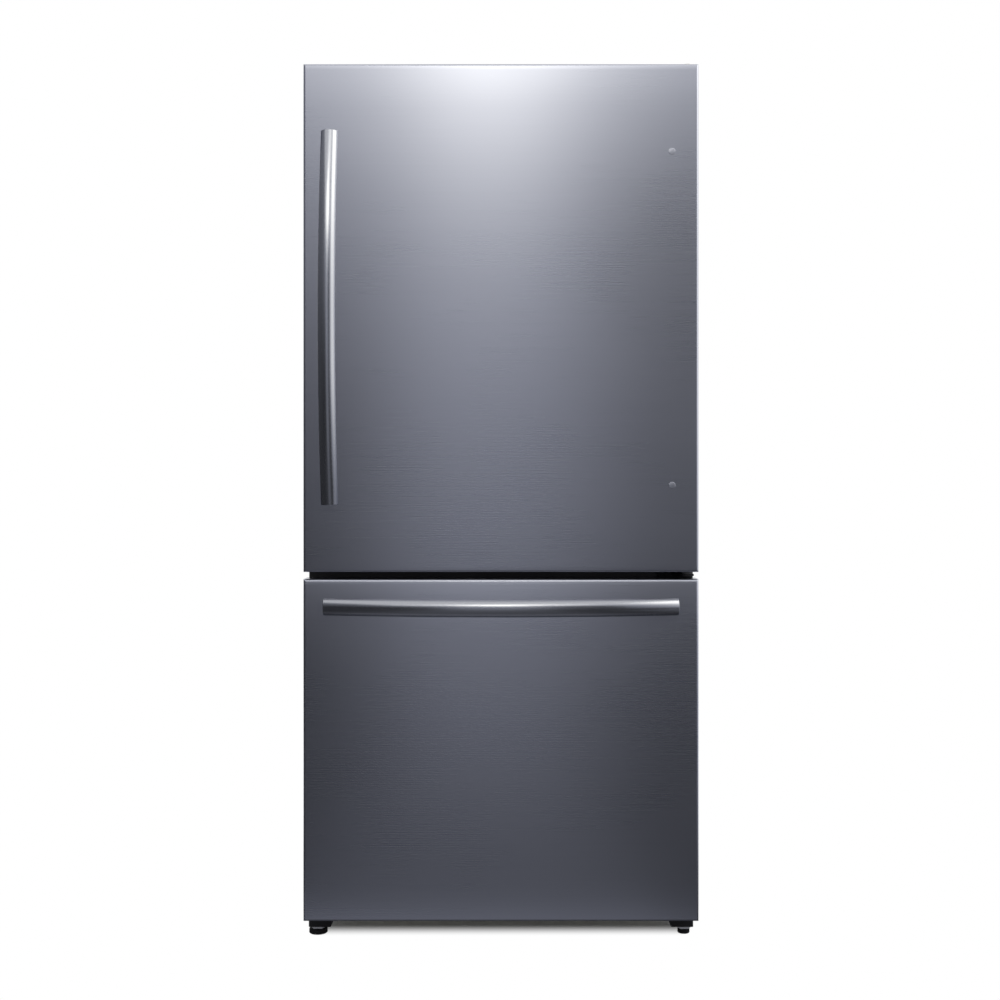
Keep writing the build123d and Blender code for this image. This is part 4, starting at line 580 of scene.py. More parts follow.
class Sketch:
    """A mesh in the making: shapes are added one by one and turned into one object."""

    def __init__(self) -> None:
        """Start with an empty mesh."""
        self.mesh = bmesh.new()

    def sheet(self, corners: Sequence[Sequence[float]]) -> None:
        """Add one flat face through new corners."""
        self.mesh.faces.new([self.mesh.verts.new(Vector(corner)) for corner in corners])

    def box(self, x: Span, y: Span, z: Span, round_off: float = 0.0) -> None:
        """Add a block with rounded edges.

        Args:
            x: Its span from left to right.
            y: Its span from front to back.
            z: Its span from low to high.
            round_off: The radius of its edges.
        """
        made = bmesh.ops.create_cube(self.mesh, size=1.0)["verts"]
        size = Vector((x[1] - x[0], y[1] - y[0], z[1] - z[0]))
        middle = Vector((sum(x) / 2, sum(y) / 2, sum(z) / 2))
        for vert in made:
            vert.co = middle + Vector(part * side for part, side in zip(vert.co, size))
        if round_off:
            edges = list({edge for vert in made for edge in vert.link_edges})
            bmesh.ops.bevel(self.mesh, geom=edges, offset=round_off, segments=ROUND_STEPS, profile=0.5,
                            affect="EDGES", clamp_overlap=True)

    def rings(self, loops: Sequence[Sequence[Vector]], closed: bool = True, caps: bool = True) -> None:
        """Join a row of equal loops with quads.

        Args:
            loops: The loops, each a list of points in the same order.
            closed: Whether each loop's last point joins its first.
            caps: Whether the first and the last loop are filled.
        """
        rows = [[self.mesh.verts.new(point) for point in loop] for loop in loops]
        count = len(rows[0])
        for near, far in zip(rows, rows[1:]):
            for number in range(count if closed else count - 1):
                after = (number + 1) % count
                self.mesh.faces.new((near[number], near[after], far[after], far[number]))
        if caps:
            self.mesh.faces.new(tuple(reversed(rows[0])))
            self.mesh.faces.new(tuple(rows[-1]))

    def turned(self, profile: Sequence[Span], foot: Point, axis: Point, sides: int) -> None:
        """Add a turned shape.

        Args:
            profile: Radius and height of each ring, from the foot on.
            foot: Where the axis starts.
            axis: The axis' direction.
            sides: The number of facets round it.
        """
        turn = Vector(UP).rotation_difference(Vector(axis)).to_matrix()
        self.rings([[Vector(foot) + turn @ point for point in circle(radius, height, sides)]
                    for radius, height in profile])

    def mitred(self, profile: Sequence[Span], half: float, z: Span) -> None:
        """Sweep a closed profile round an upright rectangle, with mitred corners.

        Args:
            profile: For each point, how far it lies inside the rectangle's edge, and its y.
            half: The rectangle's half width.
            z: The rectangle's height span.
        """
        loops = []
        for way_x, way_z in ((-1, -1), (1, -1), (1, 1), (-1, 1)):
            corner = z[0] if way_z < 0 else z[1]
            loops.append([Vector((way_x * (half - inset), y, corner - way_z * inset))
                          for inset, y in profile])
        self.rings([*loops, loops[0]], caps=False)
        self.weld()

    def tube(self, path: Sequence[Point], radius: float) -> None:
        """Sweep a round section along a path in an upright plane that faces the front.

        Args:
            path: The path's points.
            radius: The tube's radius.
        """
        spots = [Vector(point) for point in path]
        normal = Vector(BACKWARD)
        turns = [FULL_TURN * step / TUBE_SIDES for step in range(TUBE_SIDES)]
        loops = []
        for number, spot in enumerate(spots):
            before = spots[max(0, number - 1)]
            after = spots[min(len(spots) - 1, number + 1)]
            side = (after - before).normalized().cross(normal)
            loops.append([spot + radius * (math.cos(turn) * side + math.sin(turn) * normal)
                          for turn in turns])
        self.rings(loops)

    def weld(self) -> None:
        """Join the points that lie on each other."""
        bmesh.ops.remove_doubles(self.mesh, verts=self.mesh.verts, dist=WELD)

    def piece(self, name: str, smooth_below: float = SMOOTH_BELOW) -> bpy.types.Object:
        """Turn the sketch into an object.

        Args:
            name: The object's name.
            smooth_below: Edges under this angle, in degrees, are shaded smooth.

        Returns:
            The object, linked to the scene.
        """
        bmesh.ops.recalc_face_normals(self.mesh, faces=self.mesh.faces)
        data = bpy.data.meshes.new(name)
        self.mesh.to_mesh(data)
        self.mesh.free()
        data.polygons.foreach_set("use_smooth", [True] * len(data.polygons))
        data.set_sharp_from_angle(angle=math.radians(smooth_below))
        made = bpy.data.objects.new(name, data)
        bpy.context.scene.collection.objects.link(made)
        return made


def serpentine(x: Span, y: float, first: float, pitch: float, passes: int) -> list[Point]:
    """Return a path that runs back and forth across x and climbs in half circles.

    Args:
        x: The outermost places of the bends' middle line.
        y: The path's y.
        first: The height of the first run.
        pitch: The height between two runs.
        passes: The number of runs.

    Returns:
        The path's points.
    """
    bend = pitch / 2
    points: list[Point] = []
    for run in range(passes):
        z = first + run * pitch
        way = 1 if run % 2 == 0 else -1
        start, end = (x[0] + bend, x[1] - bend)[::way]
        points += [(start, y, z), (end, y, z)]
        if run < passes - 1:
            for step in range(1, BEND_STEPS):
                turn = math.pi * step / BEND_STEPS - QUARTER_TURN
                points.append((end + way * bend * math.cos(turn), y, z + bend + bend * math.sin(turn)))
    return points


def box_spans(node: str) -> tuple[Span, Span, Span]:
    """Return a CAD node's spans along x, y and z."""
    low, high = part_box(node)
    return (low.x, high.x), (low.y, high.y), (low.z, high.z)


@dataclass
class SubAssembly:
    """Pieces that belong together. The new ones ride on one body, the CAD nodes on their own."""

    body: str
    made: list[str] = field(default_factory=list)

    def dress(self, finish: Finish, *nodes: str) -> None:
        """Give CAD nodes their finish.

        Args:
            finish: The finish they take.
            nodes: The nodes' names.
        """
        for node in nodes:
            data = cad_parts[node].data
            data.materials.clear()
            data.materials.append(finish.material())
            self.made.append(node)

    def place(self, sketch: Sketch, name: str, finish: Finish, slot: str, node: str | None = None,
              smooth_below: float = SMOOTH_BELOW) -> bpy.types.Object:
        """Finish a sketched piece and put it on the assembly's body.

        Args:
            sketch: The piece's mesh.
            name: Its name.
            finish: Its finish.
            slot: A material slot's name; not used.
            node: The CAD node it stands for, if there is one.
            smooth_below: Edges under this angle, in degrees, are shaded smooth.

        Returns:
            The piece.
        """
        made = sketch.piece(name, smooth_below)
        made.data.materials.append(finish.material())
        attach(made, self.body)
        if node:
            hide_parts(node)
        self.made.append(name)
        return made

    def build(self) -> None:
        """Make and dress the pieces."""
        raise NotImplementedError

    def report(self) -> None:
        """Log what was made."""
        for name in self.made:
            LOG.info("%s: %s", type(self).__name__, name)


# ---- Fronts ----
@dataclass
class DoorFront(SubAssembly):
    """The brushed steel face of the door or the drawer, with rounded edges and a slight crown."""

    skin: str = "door_skin"
    steel: BrushedSteel = STEEL_DOOR
    edge_round: float = 0.005
    edge_steps: int = 6
    crown: float = 0.0008
    crown_reach: float = 0.09
    crown_steps: int = 12
    return_depth: float = 0.014
    sheet: float = 0.001
    folded_ends: bool = True

    def lean(self, z: float, low: float, high: float) -> float:
        """Return how far the face lies back, which it does near its upper and lower edge.

        Args:
            z: The height to look at.
            low: The face's lower edge.
            high: The face's upper edge.

        Returns:
            The distance in metres.
        """
        inside = min(z - low, high - z)
        share = max(0.0, 1 - inside / self.crown_reach)
        return self.crown * share * share

    def levels(self, low: float, high: float) -> list[float]:
        """Return the heights at which the face has a row of corners, without its rounded edges.

        Args:
            low: The face's lower edge.
            high: The face's upper edge.

        Returns:
            The heights, lowest first.
        """
        reach = self.crown_reach - self.edge_round
        near = [low + self.edge_round + reach * step / self.crown_steps
                for step in range(1, self.crown_steps + 1)]
        return near + [low + high - z for z in reversed(near)]

    def section(self, z: float, inset: float, face: float) -> list[Vector]:
        """Return one level section of the face, from its left back edge round the front to the right.

        Args:
            z: The section's height.
            inset: How far the front lies back here because of the rounded upper or lower edge.
            face: The y of the front where nothing is rounded.

        Returns:
            The section's points.
        """
        (left, right), (_, back), _ = box_spans(self.skin)
        radius = self.edge_round
        points = [Vector((left + self.sheet, back, z)), Vector((left, back, z))]
        for step in range(self.edge_steps + 1):
            turn = QUARTER_TURN * (1 - step / self.edge_steps)
            y = face + max(inset, radius * (1 - math.cos(turn)))
            points.append(Vector((left + radius * (1 - math.sin(turn)), y, z)))
        return points + [Vector((left + right - point.x, point.y, z)) for point in reversed(points)]

    def build(self) -> None:
        """Make the face from level sections, lowest first, and fold its ends back."""
        _, (front, _), (low, high) = box_spans(self.skin)
        lower, upper = [], []
        for step in range(self.edge_steps + 1):
            turn = QUARTER_TURN * step / self.edge_steps
            inset = self.edge_round * (1 - math.sin(turn))
            rise = self.edge_round * (1 - math.cos(turn))
            face = front + self.lean(low + rise, low, high)
            lower.append(self.section(low + rise, inset, face))
            upper.insert(0, self.section(high - rise, inset, face))
        middle = [self.section(z, 0.0, front + self.lean(z, low, high)) for z in self.levels(low, high)]
        rows = lower + middle + upper
        sketch = Sketch()
        sketch.rings(rows, closed=False, caps=False)
        self.fold_ends(sketch, rows)
        self.place(sketch, self.skin.replace("skin", "steel_face"), self.steel, "brushed_front", self.skin)

    def fold_ends(self, sketch: Sketch, rows: list[list[Vector]]) -> None:
        """Fold the steel back over the upper and lower end.

        Args:
            sketch: The face's mesh.
            rows: The sections of the face, lowest first.
        """
        _, (front, back), _ = box_spans(self.skin)
        reach = front + self.return_depth if self.folded_ends else back
        for edge, inward in ((rows[0], self.sheet), (rows[-1], -self.sheet)):
            strip = [point for point in edge if point.y < back]
            far = [Vector((point.x, reach, point.z)) for point in strip]
            under = [Vector((point.x, reach, point.z + inward)) for point in strip]
            sketch.rings([strip, far, under], closed=False, caps=False)
        sketch.weld()


@dataclass
class BowedHandle(SubAssembly):
    """A bar handle with a D-shaped section that bows away from the front.

    The steel face lies at face_y, and the bar's ends stand end_gap off it.
    """

    node: str = "door_handle"
    upright: bool = True
    width: float = 0.034
    thickness: float = 0.014
    edge: float = 0.0035
    edge_round: float = 0.0012
    round_share: float = 0.3
    crown_steps: int = 24
    end_gap: float = 0.004
    face_y: float = -0.300
    stations: int = 72
    end_cut: float = 0.0007
    smooth_below: float = 20.0

    def section(self) -> list[Span]:
        """Return the D section, as an arc over a flat side with two rounded corners.

        Returns:
            Each point's place across the bar, and its height above the flat side.
        """
        side = self.width / 2
        rise = self.thickness - self.edge
        radius = (side * side + rise * rise) / (2 * rise)
        sweep = math.asin(side / radius)
        turns = [sweep - 2 * sweep * step / self.crown_steps for step in range(self.crown_steps + 1)]
        crown = [(radius * math.sin(turn), self.thickness - radius + radius * math.cos(turn))
                 for turn in turns]
        round_off = self.edge_round
        corner = round_off * self.round_share
        left = [(-side, self.edge / 2), (-side + corner, corner), (-side + round_off, 0.0)]
        return crown + left + [(0.0, 0.0)] + [(-across, height) for across, height in reversed(left)]

    @staticmethod
    def bow(half: float, depth: float, place: float) -> tuple[float, float]:
        """Follow the bow, an arc that stands furthest off the front at the bar's middle.

        Args:
            half: Half the bar's length.
            depth: How far the middle stands off the ends.
            place: The place along the bar, from its middle.

        Returns:
            How far the underside stands off the ends there, and its slope.
        """
        radius = (half * half + depth * depth) / (2 * depth)
        rest = math.sqrt(radius * radius - place * place)
        return depth - (radius - rest), place / rest

    def build(self) -> None:
        """Sweep the section along the bow, with a small chamfer at both ends."""
        x, y, z = box_spans(self.node)
        along, across = (z, x) if self.upright else (x, z)
        half = (along[1] - along[0]) / 2
        middle = sum(along) / 2
        line = sum(across) / 2
        depth = self.face_y - self.end_gap - y[0] - self.thickness
        places = [half * (2 * step / self.stations - 1) for step in range(1, self.stations)]
        rows = [(-half, self.end_cut), (-half + self.end_cut, 0.0), *((place, 0.0) for place in places),
                (half - self.end_cut, 0.0), (half, self.end_cut)]
        core = self.thickness / 2
        loops = []
        for place, cut in rows:
            stand, slope = self.bow(half, depth, place)
            loop = []
            for side, height in self.section():
                spot = line + side * (1 - cut / (self.width / 2))
                lift = (core + (height - core) * (1 - cut / self.thickness)) * math.sqrt(1 + slope * slope)
                out = max(y[0], self.face_y - self.end_gap - stand - lift)
                ends = (spot, middle + place) if self.upright else (middle + place, spot)
                loop.append(Vector((ends[0], out, ends[1])))
            loops.append(loop)
        sketch = Sketch()
        sketch.rings(loops)
        self.unwrap(sketch)
        made = self.place(sketch, self.node + "_bar", STEEL_HANDLE, "handle_metal", self.node,
                          self.smooth_below)
        # The photograph's steel faces show no mirror image of the bars.
        made.visible_glossy = False

    def unwrap(self, sketch: Sketch) -> None:
        """Lay the bar's length along u, so that the grain follows it.

        Args:
            sketch: The bar's mesh.
        """
        layer = sketch.mesh.loops.layers.uv.new("length")
        for face in sketch.mesh.faces:
            for corner in face.loops:
                spot = corner.vert.co
                corner[layer].uv = (spot.z, spot.x) if self.upright else (spot.x, spot.z)


@dataclass
class UpperDoor(SubAssembly):
    """The fresh food door behind its steel face: caps, foam, liner, posts, bushes, plugs and bins.

    The plugs' rim is given in shares of their radius and of how far the CAD lets them stand proud.
    """

    plug_radius: float = 0.007
    plug_rim: tuple[Span, ...] = ((1.0, 0.0), (1.0, 0.08), (0.96, 0.13), (0.86, 0.18))
    plug_dome: float = 0.12
    dome_steps: int = 9
    plug_sides: int = 40

    def build(self) -> None:
        """Dress the CAD pieces and make the finer ones."""
        self.dress(COVER_GREY, "door_end_caps")
        self.dress(FOAM, "door_foam")
        self.dress(LINER_WHITE, "door_liner")
        self.dress(ZINC, "door_handle_posts")
        self.dress(BUSH_PLASTIC, "hinge_bushes")
        self.dress(CLEAR_BIN, "dairy_bin", "door_bin_middle", "door_bin_lower", "dairy_lid")
        self.make_plugs()

    def make_plugs(self) -> None:
        """Turn the two plugs that close the spare handle holes."""
        x, y, z = box_spans("handle_hole_plugs")
        proud = y[1] - y[0]
        profile = [(self.plug_radius * wide, proud * high) for wide, high in self.plug_rim]
        wide, high = self.plug_rim[-1]
        for step in range(1, self.dome_steps):
            share = 1 - step / self.dome_steps
            rise = high + self.plug_dome * (1 - share * share)
            profile.append((self.plug_radius * wide * share, proud * rise))
        sketch = Sketch()
        for height in (z[0] + self.plug_radius, z[1] - self.plug_radius):
            sketch.turned(profile, (sum(x) / 2, y[1], height), FORWARD, self.plug_sides)
        self.place(sketch, "handle_hole_plug_pair", STEEL_PLUG, "handle_metal", "handle_hole_plugs")


class SealDatum(Enum):
    """Where a height of the seal's profile is measured from."""

    FRONT = "front"
    MIDDLE = "middle"
    BACK = "back"


@dataclass
class DoorSeal(SubAssembly):
    """A magnetic seal with a folded bellows between its foot and its face.

    The flank is one side of the profile: places inward in folds, and heights from a datum.
    """

    node: str = "door_gasket"
    foot_width: float = 0.018
    fold: float = 0.0016
    flank: tuple[tuple[float, SealDatum, float], ...] = (
        (0.0, SealDatum.FRONT, 0.0), (0.0, SealDatum.FRONT, 0.0016), (1.0, SealDatum.FRONT, 0.0026),
        (0.4, SealDatum.MIDDLE, -0.001), (1.9, SealDatum.MIDDLE, 0.0), (0.8, SealDatum.MIDDLE, 0.0016),
        (1.6, SealDatum.BACK, -0.0024), (1.6, SealDatum.BACK, -0.0006), (2.0, SealDatum.BACK, 0.0),
    )
    smooth_below: float = 50.0

    def build(self) -> None:
        """Sweep the bellows profile round the door or the drawer."""
        x, y, z = box_spans(self.node)
        datums = {SealDatum.FRONT: y[0], SealDatum.MIDDLE: sum(y) / 2, SealDatum.BACK: y[1]}
        outer = [(self.fold * folds, datums[datum] + height) for folds, datum, height in self.flank]
        inner = [(self.foot_width - inset, height) for inset, height in reversed(outer)]
        sketch = Sketch()
        sketch.mitred(outer + inner, (x[1] - x[0]) / 2, z)
        self.place(sketch, self.node + "_bellows", SEAL_VINYL, "gasket_rubber", self.node, self.smooth_below)


@dataclass
class FreezerDrawer(SubAssembly):
    """The freezer drawer's foam, liner, frame and basket, and the pieces that slide with it."""

    def build(self) -> None:
        """Dress the CAD pieces."""
        self.dress(FOAM, "drawer_foam")
        self.dress(LINER_WHITE, "drawer_liner", "freezer_basket")
        self.dress(ZINC, "drawer_handle_posts", "drawer_frame", "slide_middle_rails")
        self.dress(CRISPER_CLEAR, "freezer_tray")


# ---- Cabinet and what is in it ----
@dataclass
class Cabinet(SubAssembly):
    """The cabinet's sheets, foam, liners, base and hinges."""

    def build(self) -> None:
        """Dress the CAD pieces."""
        self.dress(CABINET_PAINT, "cabinet_shell")
        # The rails behind the gap take a painted shade.
        self.dress(RAIL_SHADE_PAINT, "front_cross_rails")
        self.dress(BACK_SHEET, "cabinet_back_panel", "machine_cover")
        self.dress(FOAM, "insulation")
        self.dress(LINER_WHITE, "fridge_liner", "freezer_liner")
        self.dress(BASE_ZINC, "base_frame")
        self.dress(COVER_GREY, "power_inlet", "top_hinge_cover")
        self.dress(ZINC, "top_hinge", "slide_outer_rails", "rear_roller_brackets")
        self.dress(BLACK_STEEL, "middle_hinge", "hinge_screws", "front_foot_brackets")


@dataclass
class FreshFoodFittings(SubAssembly):
    """Shelves, crispers, duct, controls and light."""

    def build(self) -> None:
        """Dress the CAD pieces."""
        self.dress(LINER_WHITE, "shelf_frames", "crisper_cover", "fridge_air_duct")
        self.dress(SHELF_GLASS, "shelf_glasses")
        self.dress(CRISPER_CLEAR, "crisper_left", "crisper_right")
        self.dress(TRIM_GREY, "control_panel")
        self.dress(BUTTON_PLASTIC, "button_colder", "button_warmer")
        self.dress(DIFFUSER, "light_diffuser")


@dataclass
class Machinery(SubAssembly):
    """The fans, the shroud and the panel behind the freezer."""

    def build(self) -> None:
        """Dress the CAD pieces."""
        self.dress(COVER_GREY, "condenser_fan_shroud")
        self.dress(FAN_PLASTIC, "condenser_fan", "evaporator_fan")
        self.dress(LINER_WHITE, "freezer_back_panel")


@dataclass
class Compressor(SubAssembly):
    """The compressor: a domed shell on a rubber-mounted plate, with its terminal box and pipe stubs.

    flat_top, stub_root and grommet_foot are shares of a radius, stub_height is one of the shell's
    height, and stub_ways are in degrees about its axis.
    """

    axis: tuple[float, float] = (-0.205, 0.225)
    floor: float = 0.032
    plate_top: float = 0.044
    plate_sheet: float = 0.003
    plate_size: tuple[float, float] = (0.232, 0.150)
    plate_round: float = 0.0008
    foot_radius: float = 0.030
    radius: float = 0.086
    height: float = 0.160
    crown: float = 0.048
    crown_steps: int = 12
    foot_steps: int = 8
    flat_top: float = 0.2
    seam: float = 0.004
    seam_proud: float = 0.0036
    shell_sides: int = 72
    box_half: tuple[float, float] = (0.028, 0.030)
    box_rise: Span = (0.036, 0.092)
    box_round: float = 0.004
    stub_ways: tuple[float, ...] = (110.0, 150.0)
    stub_height: float = 0.72
    stub_root: float = 0.9
    stub_radius: float = 0.004
    stub_socket: float = 0.0072
    socket_reach: Span = (0.004, 0.007)
    stub_reach: float = 0.100
    stub_sides: int = 24
    grommet_radius: float = 0.012
    grommet_lip: float = 0.001
    grommet_neck: tuple[Span, ...] = ((1.0, 0.4), (0.8, 0.5), (1.0, 0.6), (1.0, 1.0))
    grommet_foot: float = 0.85
    grommet_sides: int = 32

    def build(self) -> None:
        """Make the shell, the plate and the grommets."""
        self.make_shell()
        self.make_plate()
        self.make_grommets()

    def shell_profile(self) -> list[Span]:
        """Return the shell's profile, from its drawn-in foot over its seam to its domed top.

        Returns:
            The radius and height of each ring.
        """
        half_crown, middle = self.crown / 2, self.height / 2
        profile = [(self.foot_radius, 0.0), (self.radius - half_crown, 0.0)]
        for step in range(1, self.foot_steps + 1):
            turn = QUARTER_TURN * step / self.foot_steps
            profile.append((self.radius - half_crown * (1 - math.sin(turn)),
                            half_crown * (1 - math.cos(turn))))
        proud = self.radius + self.seam_proud
        profile += [(self.radius, middle - self.seam), (proud, middle - self.seam / 2),
                    (proud, middle + self.seam / 2), (self.radius, middle + self.seam)]
        for step in range(self.crown_steps + 1):
            turn = QUARTER_TURN * step / self.crown_steps
            profile.append((self.radius - self.crown * (1 - math.cos(turn)),
                            self.height - self.crown * (1 - math.sin(turn))))
        return profile + [(self.radius * self.flat_top, self.height)]

    def make_shell(self) -> None:
        """Turn the shell, and add the terminal box and the pipe stubs."""
        x, y = self.axis
        base = self.plate_top
        sketch = Sketch()
        sketch.turned(self.shell_profile(), (x, y, base), UP, self.shell_sides)
        sketch.box(about(x + self.radius, self.box_half[0]), about(y, self.box_half[1]),
                   (base + self.box_rise[0], base + self.box_rise[1]), self.box_round)
        socket, reach = self.stub_socket, self.socket_reach
        profile = [(socket, self.radius * self.stub_root), (socket, self.radius + reach[0]),
                   (self.stub_radius, self.radius + reach[1]), (self.stub_radius, self.stub_reach)]
        for degrees in self.stub_ways:
            turn = math.radians(degrees)
            sketch.turned(profile, (x, y, base + self.height * self.stub_height),
                          (math.cos(turn), math.sin(turn), 0.0), self.stub_sides)
        self.place(sketch, "compressor_shell", COIL_BLACK, "coil_black", "compressor")

    def make_plate(self) -> None:
        """Make the base plate."""
        long, wide = self.plate_size
        sketch = Sketch()
        sketch.box(about(self.axis[0], long / 2), about(self.axis[1], wide / 2),
                   (self.plate_top - self.plate_sheet, self.plate_top), self.plate_round)
        self.place(sketch, "compressor_base_plate", ZINC, "zinc_steel")

    def make_grommets(self) -> None:
        """Turn the four grommets that the plate stands on."""
        radius = self.grommet_radius
        tall = self.plate_top - self.plate_sheet - self.floor
        profile = [(radius * self.grommet_foot, 0.0), (radius, self.grommet_lip)]
        profile += [(radius * wide, tall * high) for wide, high in self.grommet_neck]
        sketch = Sketch()
        for x in about(self.axis[0], self.plate_size[0] / 2 - radius):
            for y in about(self.axis[1], self.plate_size[1] / 2 - radius):
                sketch.turned(profile, (x, y, self.floor), UP, self.grommet_sides)
        self.place(sketch, "compressor_grommets", FOOT_RUBBER, "foot_rubber")


@dataclass
class EvaporatorCoil(SubAssembly):
    """The finned evaporator behind the freezer's back panel."""

    half: float = 0.250
    first: float = 0.390
    pitch: float = 0.040
    passes: int = 4
    tube_radius: float = 0.004
    fins: int = 46
    fin_sheet: float = 0.0004
    fin_lift: float = 0.008

    def build(self) -> None:
        """Sweep the tube and stand the fins on it, the two outer ones down to the coil's foot."""
        _, y, z = box_spans("evaporator_coil")
        tube = Sketch()
        tube.tube(serpentine(about(0.0, self.half), sum(y) / 2, self.first, self.pitch, self.passes),
                  self.tube_radius)
        self.place(tube, "evaporator_tube", COIL_METAL, "coil_metal", "evaporator_coil")
        fins = Sketch()
        reach = self.half - self.pitch
        for number in range(self.fins):
            x = -reach + 2 * reach * number / (self.fins - 1)
            low = z[0] if number in (0, self.fins - 1) else z[0] + self.fin_lift
            fins.box(about(x, self.fin_sheet / 2), y, (low, z[1]))
        self.place(fins, "evaporator_fins", COIL_METAL, "coil_metal")


@dataclass
class CondenserCoil(SubAssembly):
    """The wire-on-tube condenser in the machine compartment, on two bent feet."""

    x: Span = (0.050, 0.325)
    y: float = 0.303
    floor: float = 0.032
    first: float = 0.054
    pitch: float = 0.044
    passes: int = 4
    tube_radius: float = 0.003
    wire_radius: float = 0.0008
    wires: int = 26
    wire_sides: int = 6
    foot_places: tuple[float, ...] = (1 / 6, 5 / 6)
    foot_width: float = 0.012
    foot_half: float = 0.001
    foot_drop: float = 0.012
    foot_round: float = 0.0004
    sole_half: float = 0.018
    sole_sheet: float = 0.001
    sole_round: float = 0.0003

    def build(self) -> None:
        """Sweep the tube, weld the wires on both sides of it, and add the two feet."""
        coil = Sketch()
        coil.tube(serpentine(self.x, self.y, self.first, self.pitch, self.passes), self.tube_radius)
        low = self.first - 2 * self.tube_radius
        tall = self.pitch * (self.passes - 1) + 4 * self.tube_radius
        start = self.x[0] + self.pitch
        reach = self.x[1] - self.x[0] - 2 * self.pitch
        wire = [(self.wire_radius, 0.0), (self.wire_radius, tall)]
        for number in range(self.wires):
            for y in about(self.y, self.tube_radius + self.wire_radius):
                coil.turned(wire, (start + reach * number / (self.wires - 1), y, low), UP, self.wire_sides)
        self.place(coil, "condenser_wire_coil", COIL_BLACK, "coil_black", "condenser_coil")
        feet = Sketch()
        for share in self.foot_places:
            span = about(start + reach * share, self.foot_width / 2)
            feet.box(span, about(self.y, self.foot_half), (self.floor, self.first + tall - self.foot_drop),
                     self.foot_round)
            feet.box(span, about(self.y, self.sole_half), (self.floor, self.floor + self.sole_sheet),
                     self.sole_round)
        self.place(feet, "condenser_feet", ZINC, "zinc_steel")


@dataclass
class LevellingFoot(SubAssembly):
    """A levelling foot: a ribbed rubber pad, a bright collar and a threaded stud.

    Profiles are given in shares of the radius and of the height, and a foot's node has its body's name.
    """

    pad_radius: float = 0.019
    pad_height: float = 0.0108
    pad_lip: float = 0.0012
    pad_foot: float = 0.94
    pad_ribs: tuple[Span, ...] = ((1.0, 0.35), (0.965, 0.40), (0.965, 0.50), (1.0, 0.55), (0.99, 0.80),
                                  (0.93, 0.95), (0.86, 1.0))
    pad_sides: int = 48
    collar_height: float = 0.0062
    collar_across: float = 0.029
    collar_profile: tuple[Span, ...] = ((0.93, 0.0), (1.0, 0.12), (1.0, 0.88), (0.93, 1.0))
    collar_sides: int = 6
    stud_radius: float = 0.005
    thread_root: float = 0.86
    thread_turns: int = 20
    stud_tip: float = 0.8
    stud_sides: int = 24
    smooth_below: float = 25.0

    def build(self) -> None:
        """Make the pad, and the collar with its stud."""
        x, y, z = box_spans(self.body)
        foot = (sum(x) / 2, sum(y) / 2, z[0])
        radius, tall = self.pad_radius, self.pad_height
        pad = Sketch()
        ribs = [(radius * wide, tall * high) for wide, high in self.pad_ribs]
        pad.turned([(radius * self.pad_foot, 0.0), (radius, self.pad_lip), *ribs], foot, UP, self.pad_sides)
        self.place(pad, self.body + "_pad", FOOT_RUBBER, "foot_rubber", self.body)
        base = (foot[0], foot[1], foot[2] + tall)
        across = self.collar_across / 2 / math.cos(math.pi / self.collar_sides)
        collar = Sketch()
        collar.turned([(across * wide, self.collar_height * high) for wide, high in self.collar_profile],
                      base, UP, self.collar_sides)
        collar.turned(self.thread(z[1] - base[2]), base, UP, self.stud_sides)
        self.place(collar, self.body + "_collar", COLLAR_STEEL, "zinc_steel", smooth_below=self.smooth_below)

    def thread(self, top: float) -> list[Span]:
        """Return the stud's profile above the collar.

        Args:
            top: The stud's upper end, from the collar's foot.

        Returns:
            The radius and height of each ring.
        """
        low = self.collar_height
        pitch = (top - low) / self.thread_turns
        profile = []
        for turn in range(self.thread_turns):
            profile += [(self.stud_radius * self.thread_root, low + pitch * turn),
                        (self.stud_radius, low + pitch * turn + pitch / 2)]
        return profile + [(self.stud_radius * self.stud_tip, top)]


@dataclass
class RearRoller(SubAssembly):
    """One of the two rear rollers, whose node has its body's name."""

    def build(self) -> None:
        """Dress the roller."""
        self.dress(ROLLER_PLASTIC, self.body)


# ---- Studio ----
# The wall of painted reflection cards that stands in front of the object: half its width, and its y.
WALL_HALF = 1.75
WALL_Y = -3.4
# A painted reflection card is cool where it is dim and warm where it is bright, up to a top brightness.
CARD_TOP = 4.0
CARD_TINTS: tuple[tuple[float, Colour], ...] = (
    (0.12, (0.935, 0.960, 1.080)),
    (0.22, (0.985, 0.990, 1.010)),
    (0.40, (1.0, 0.990, 0.960)),
    (0.90, (1.0, 0.975, 0.880)),
)


class Axis(Enum):
    """Which way a card's brightness changes, by the number of the coordinate."""

    ACROSS = 0
    DEEP = 1
    UPRIGHT = 2


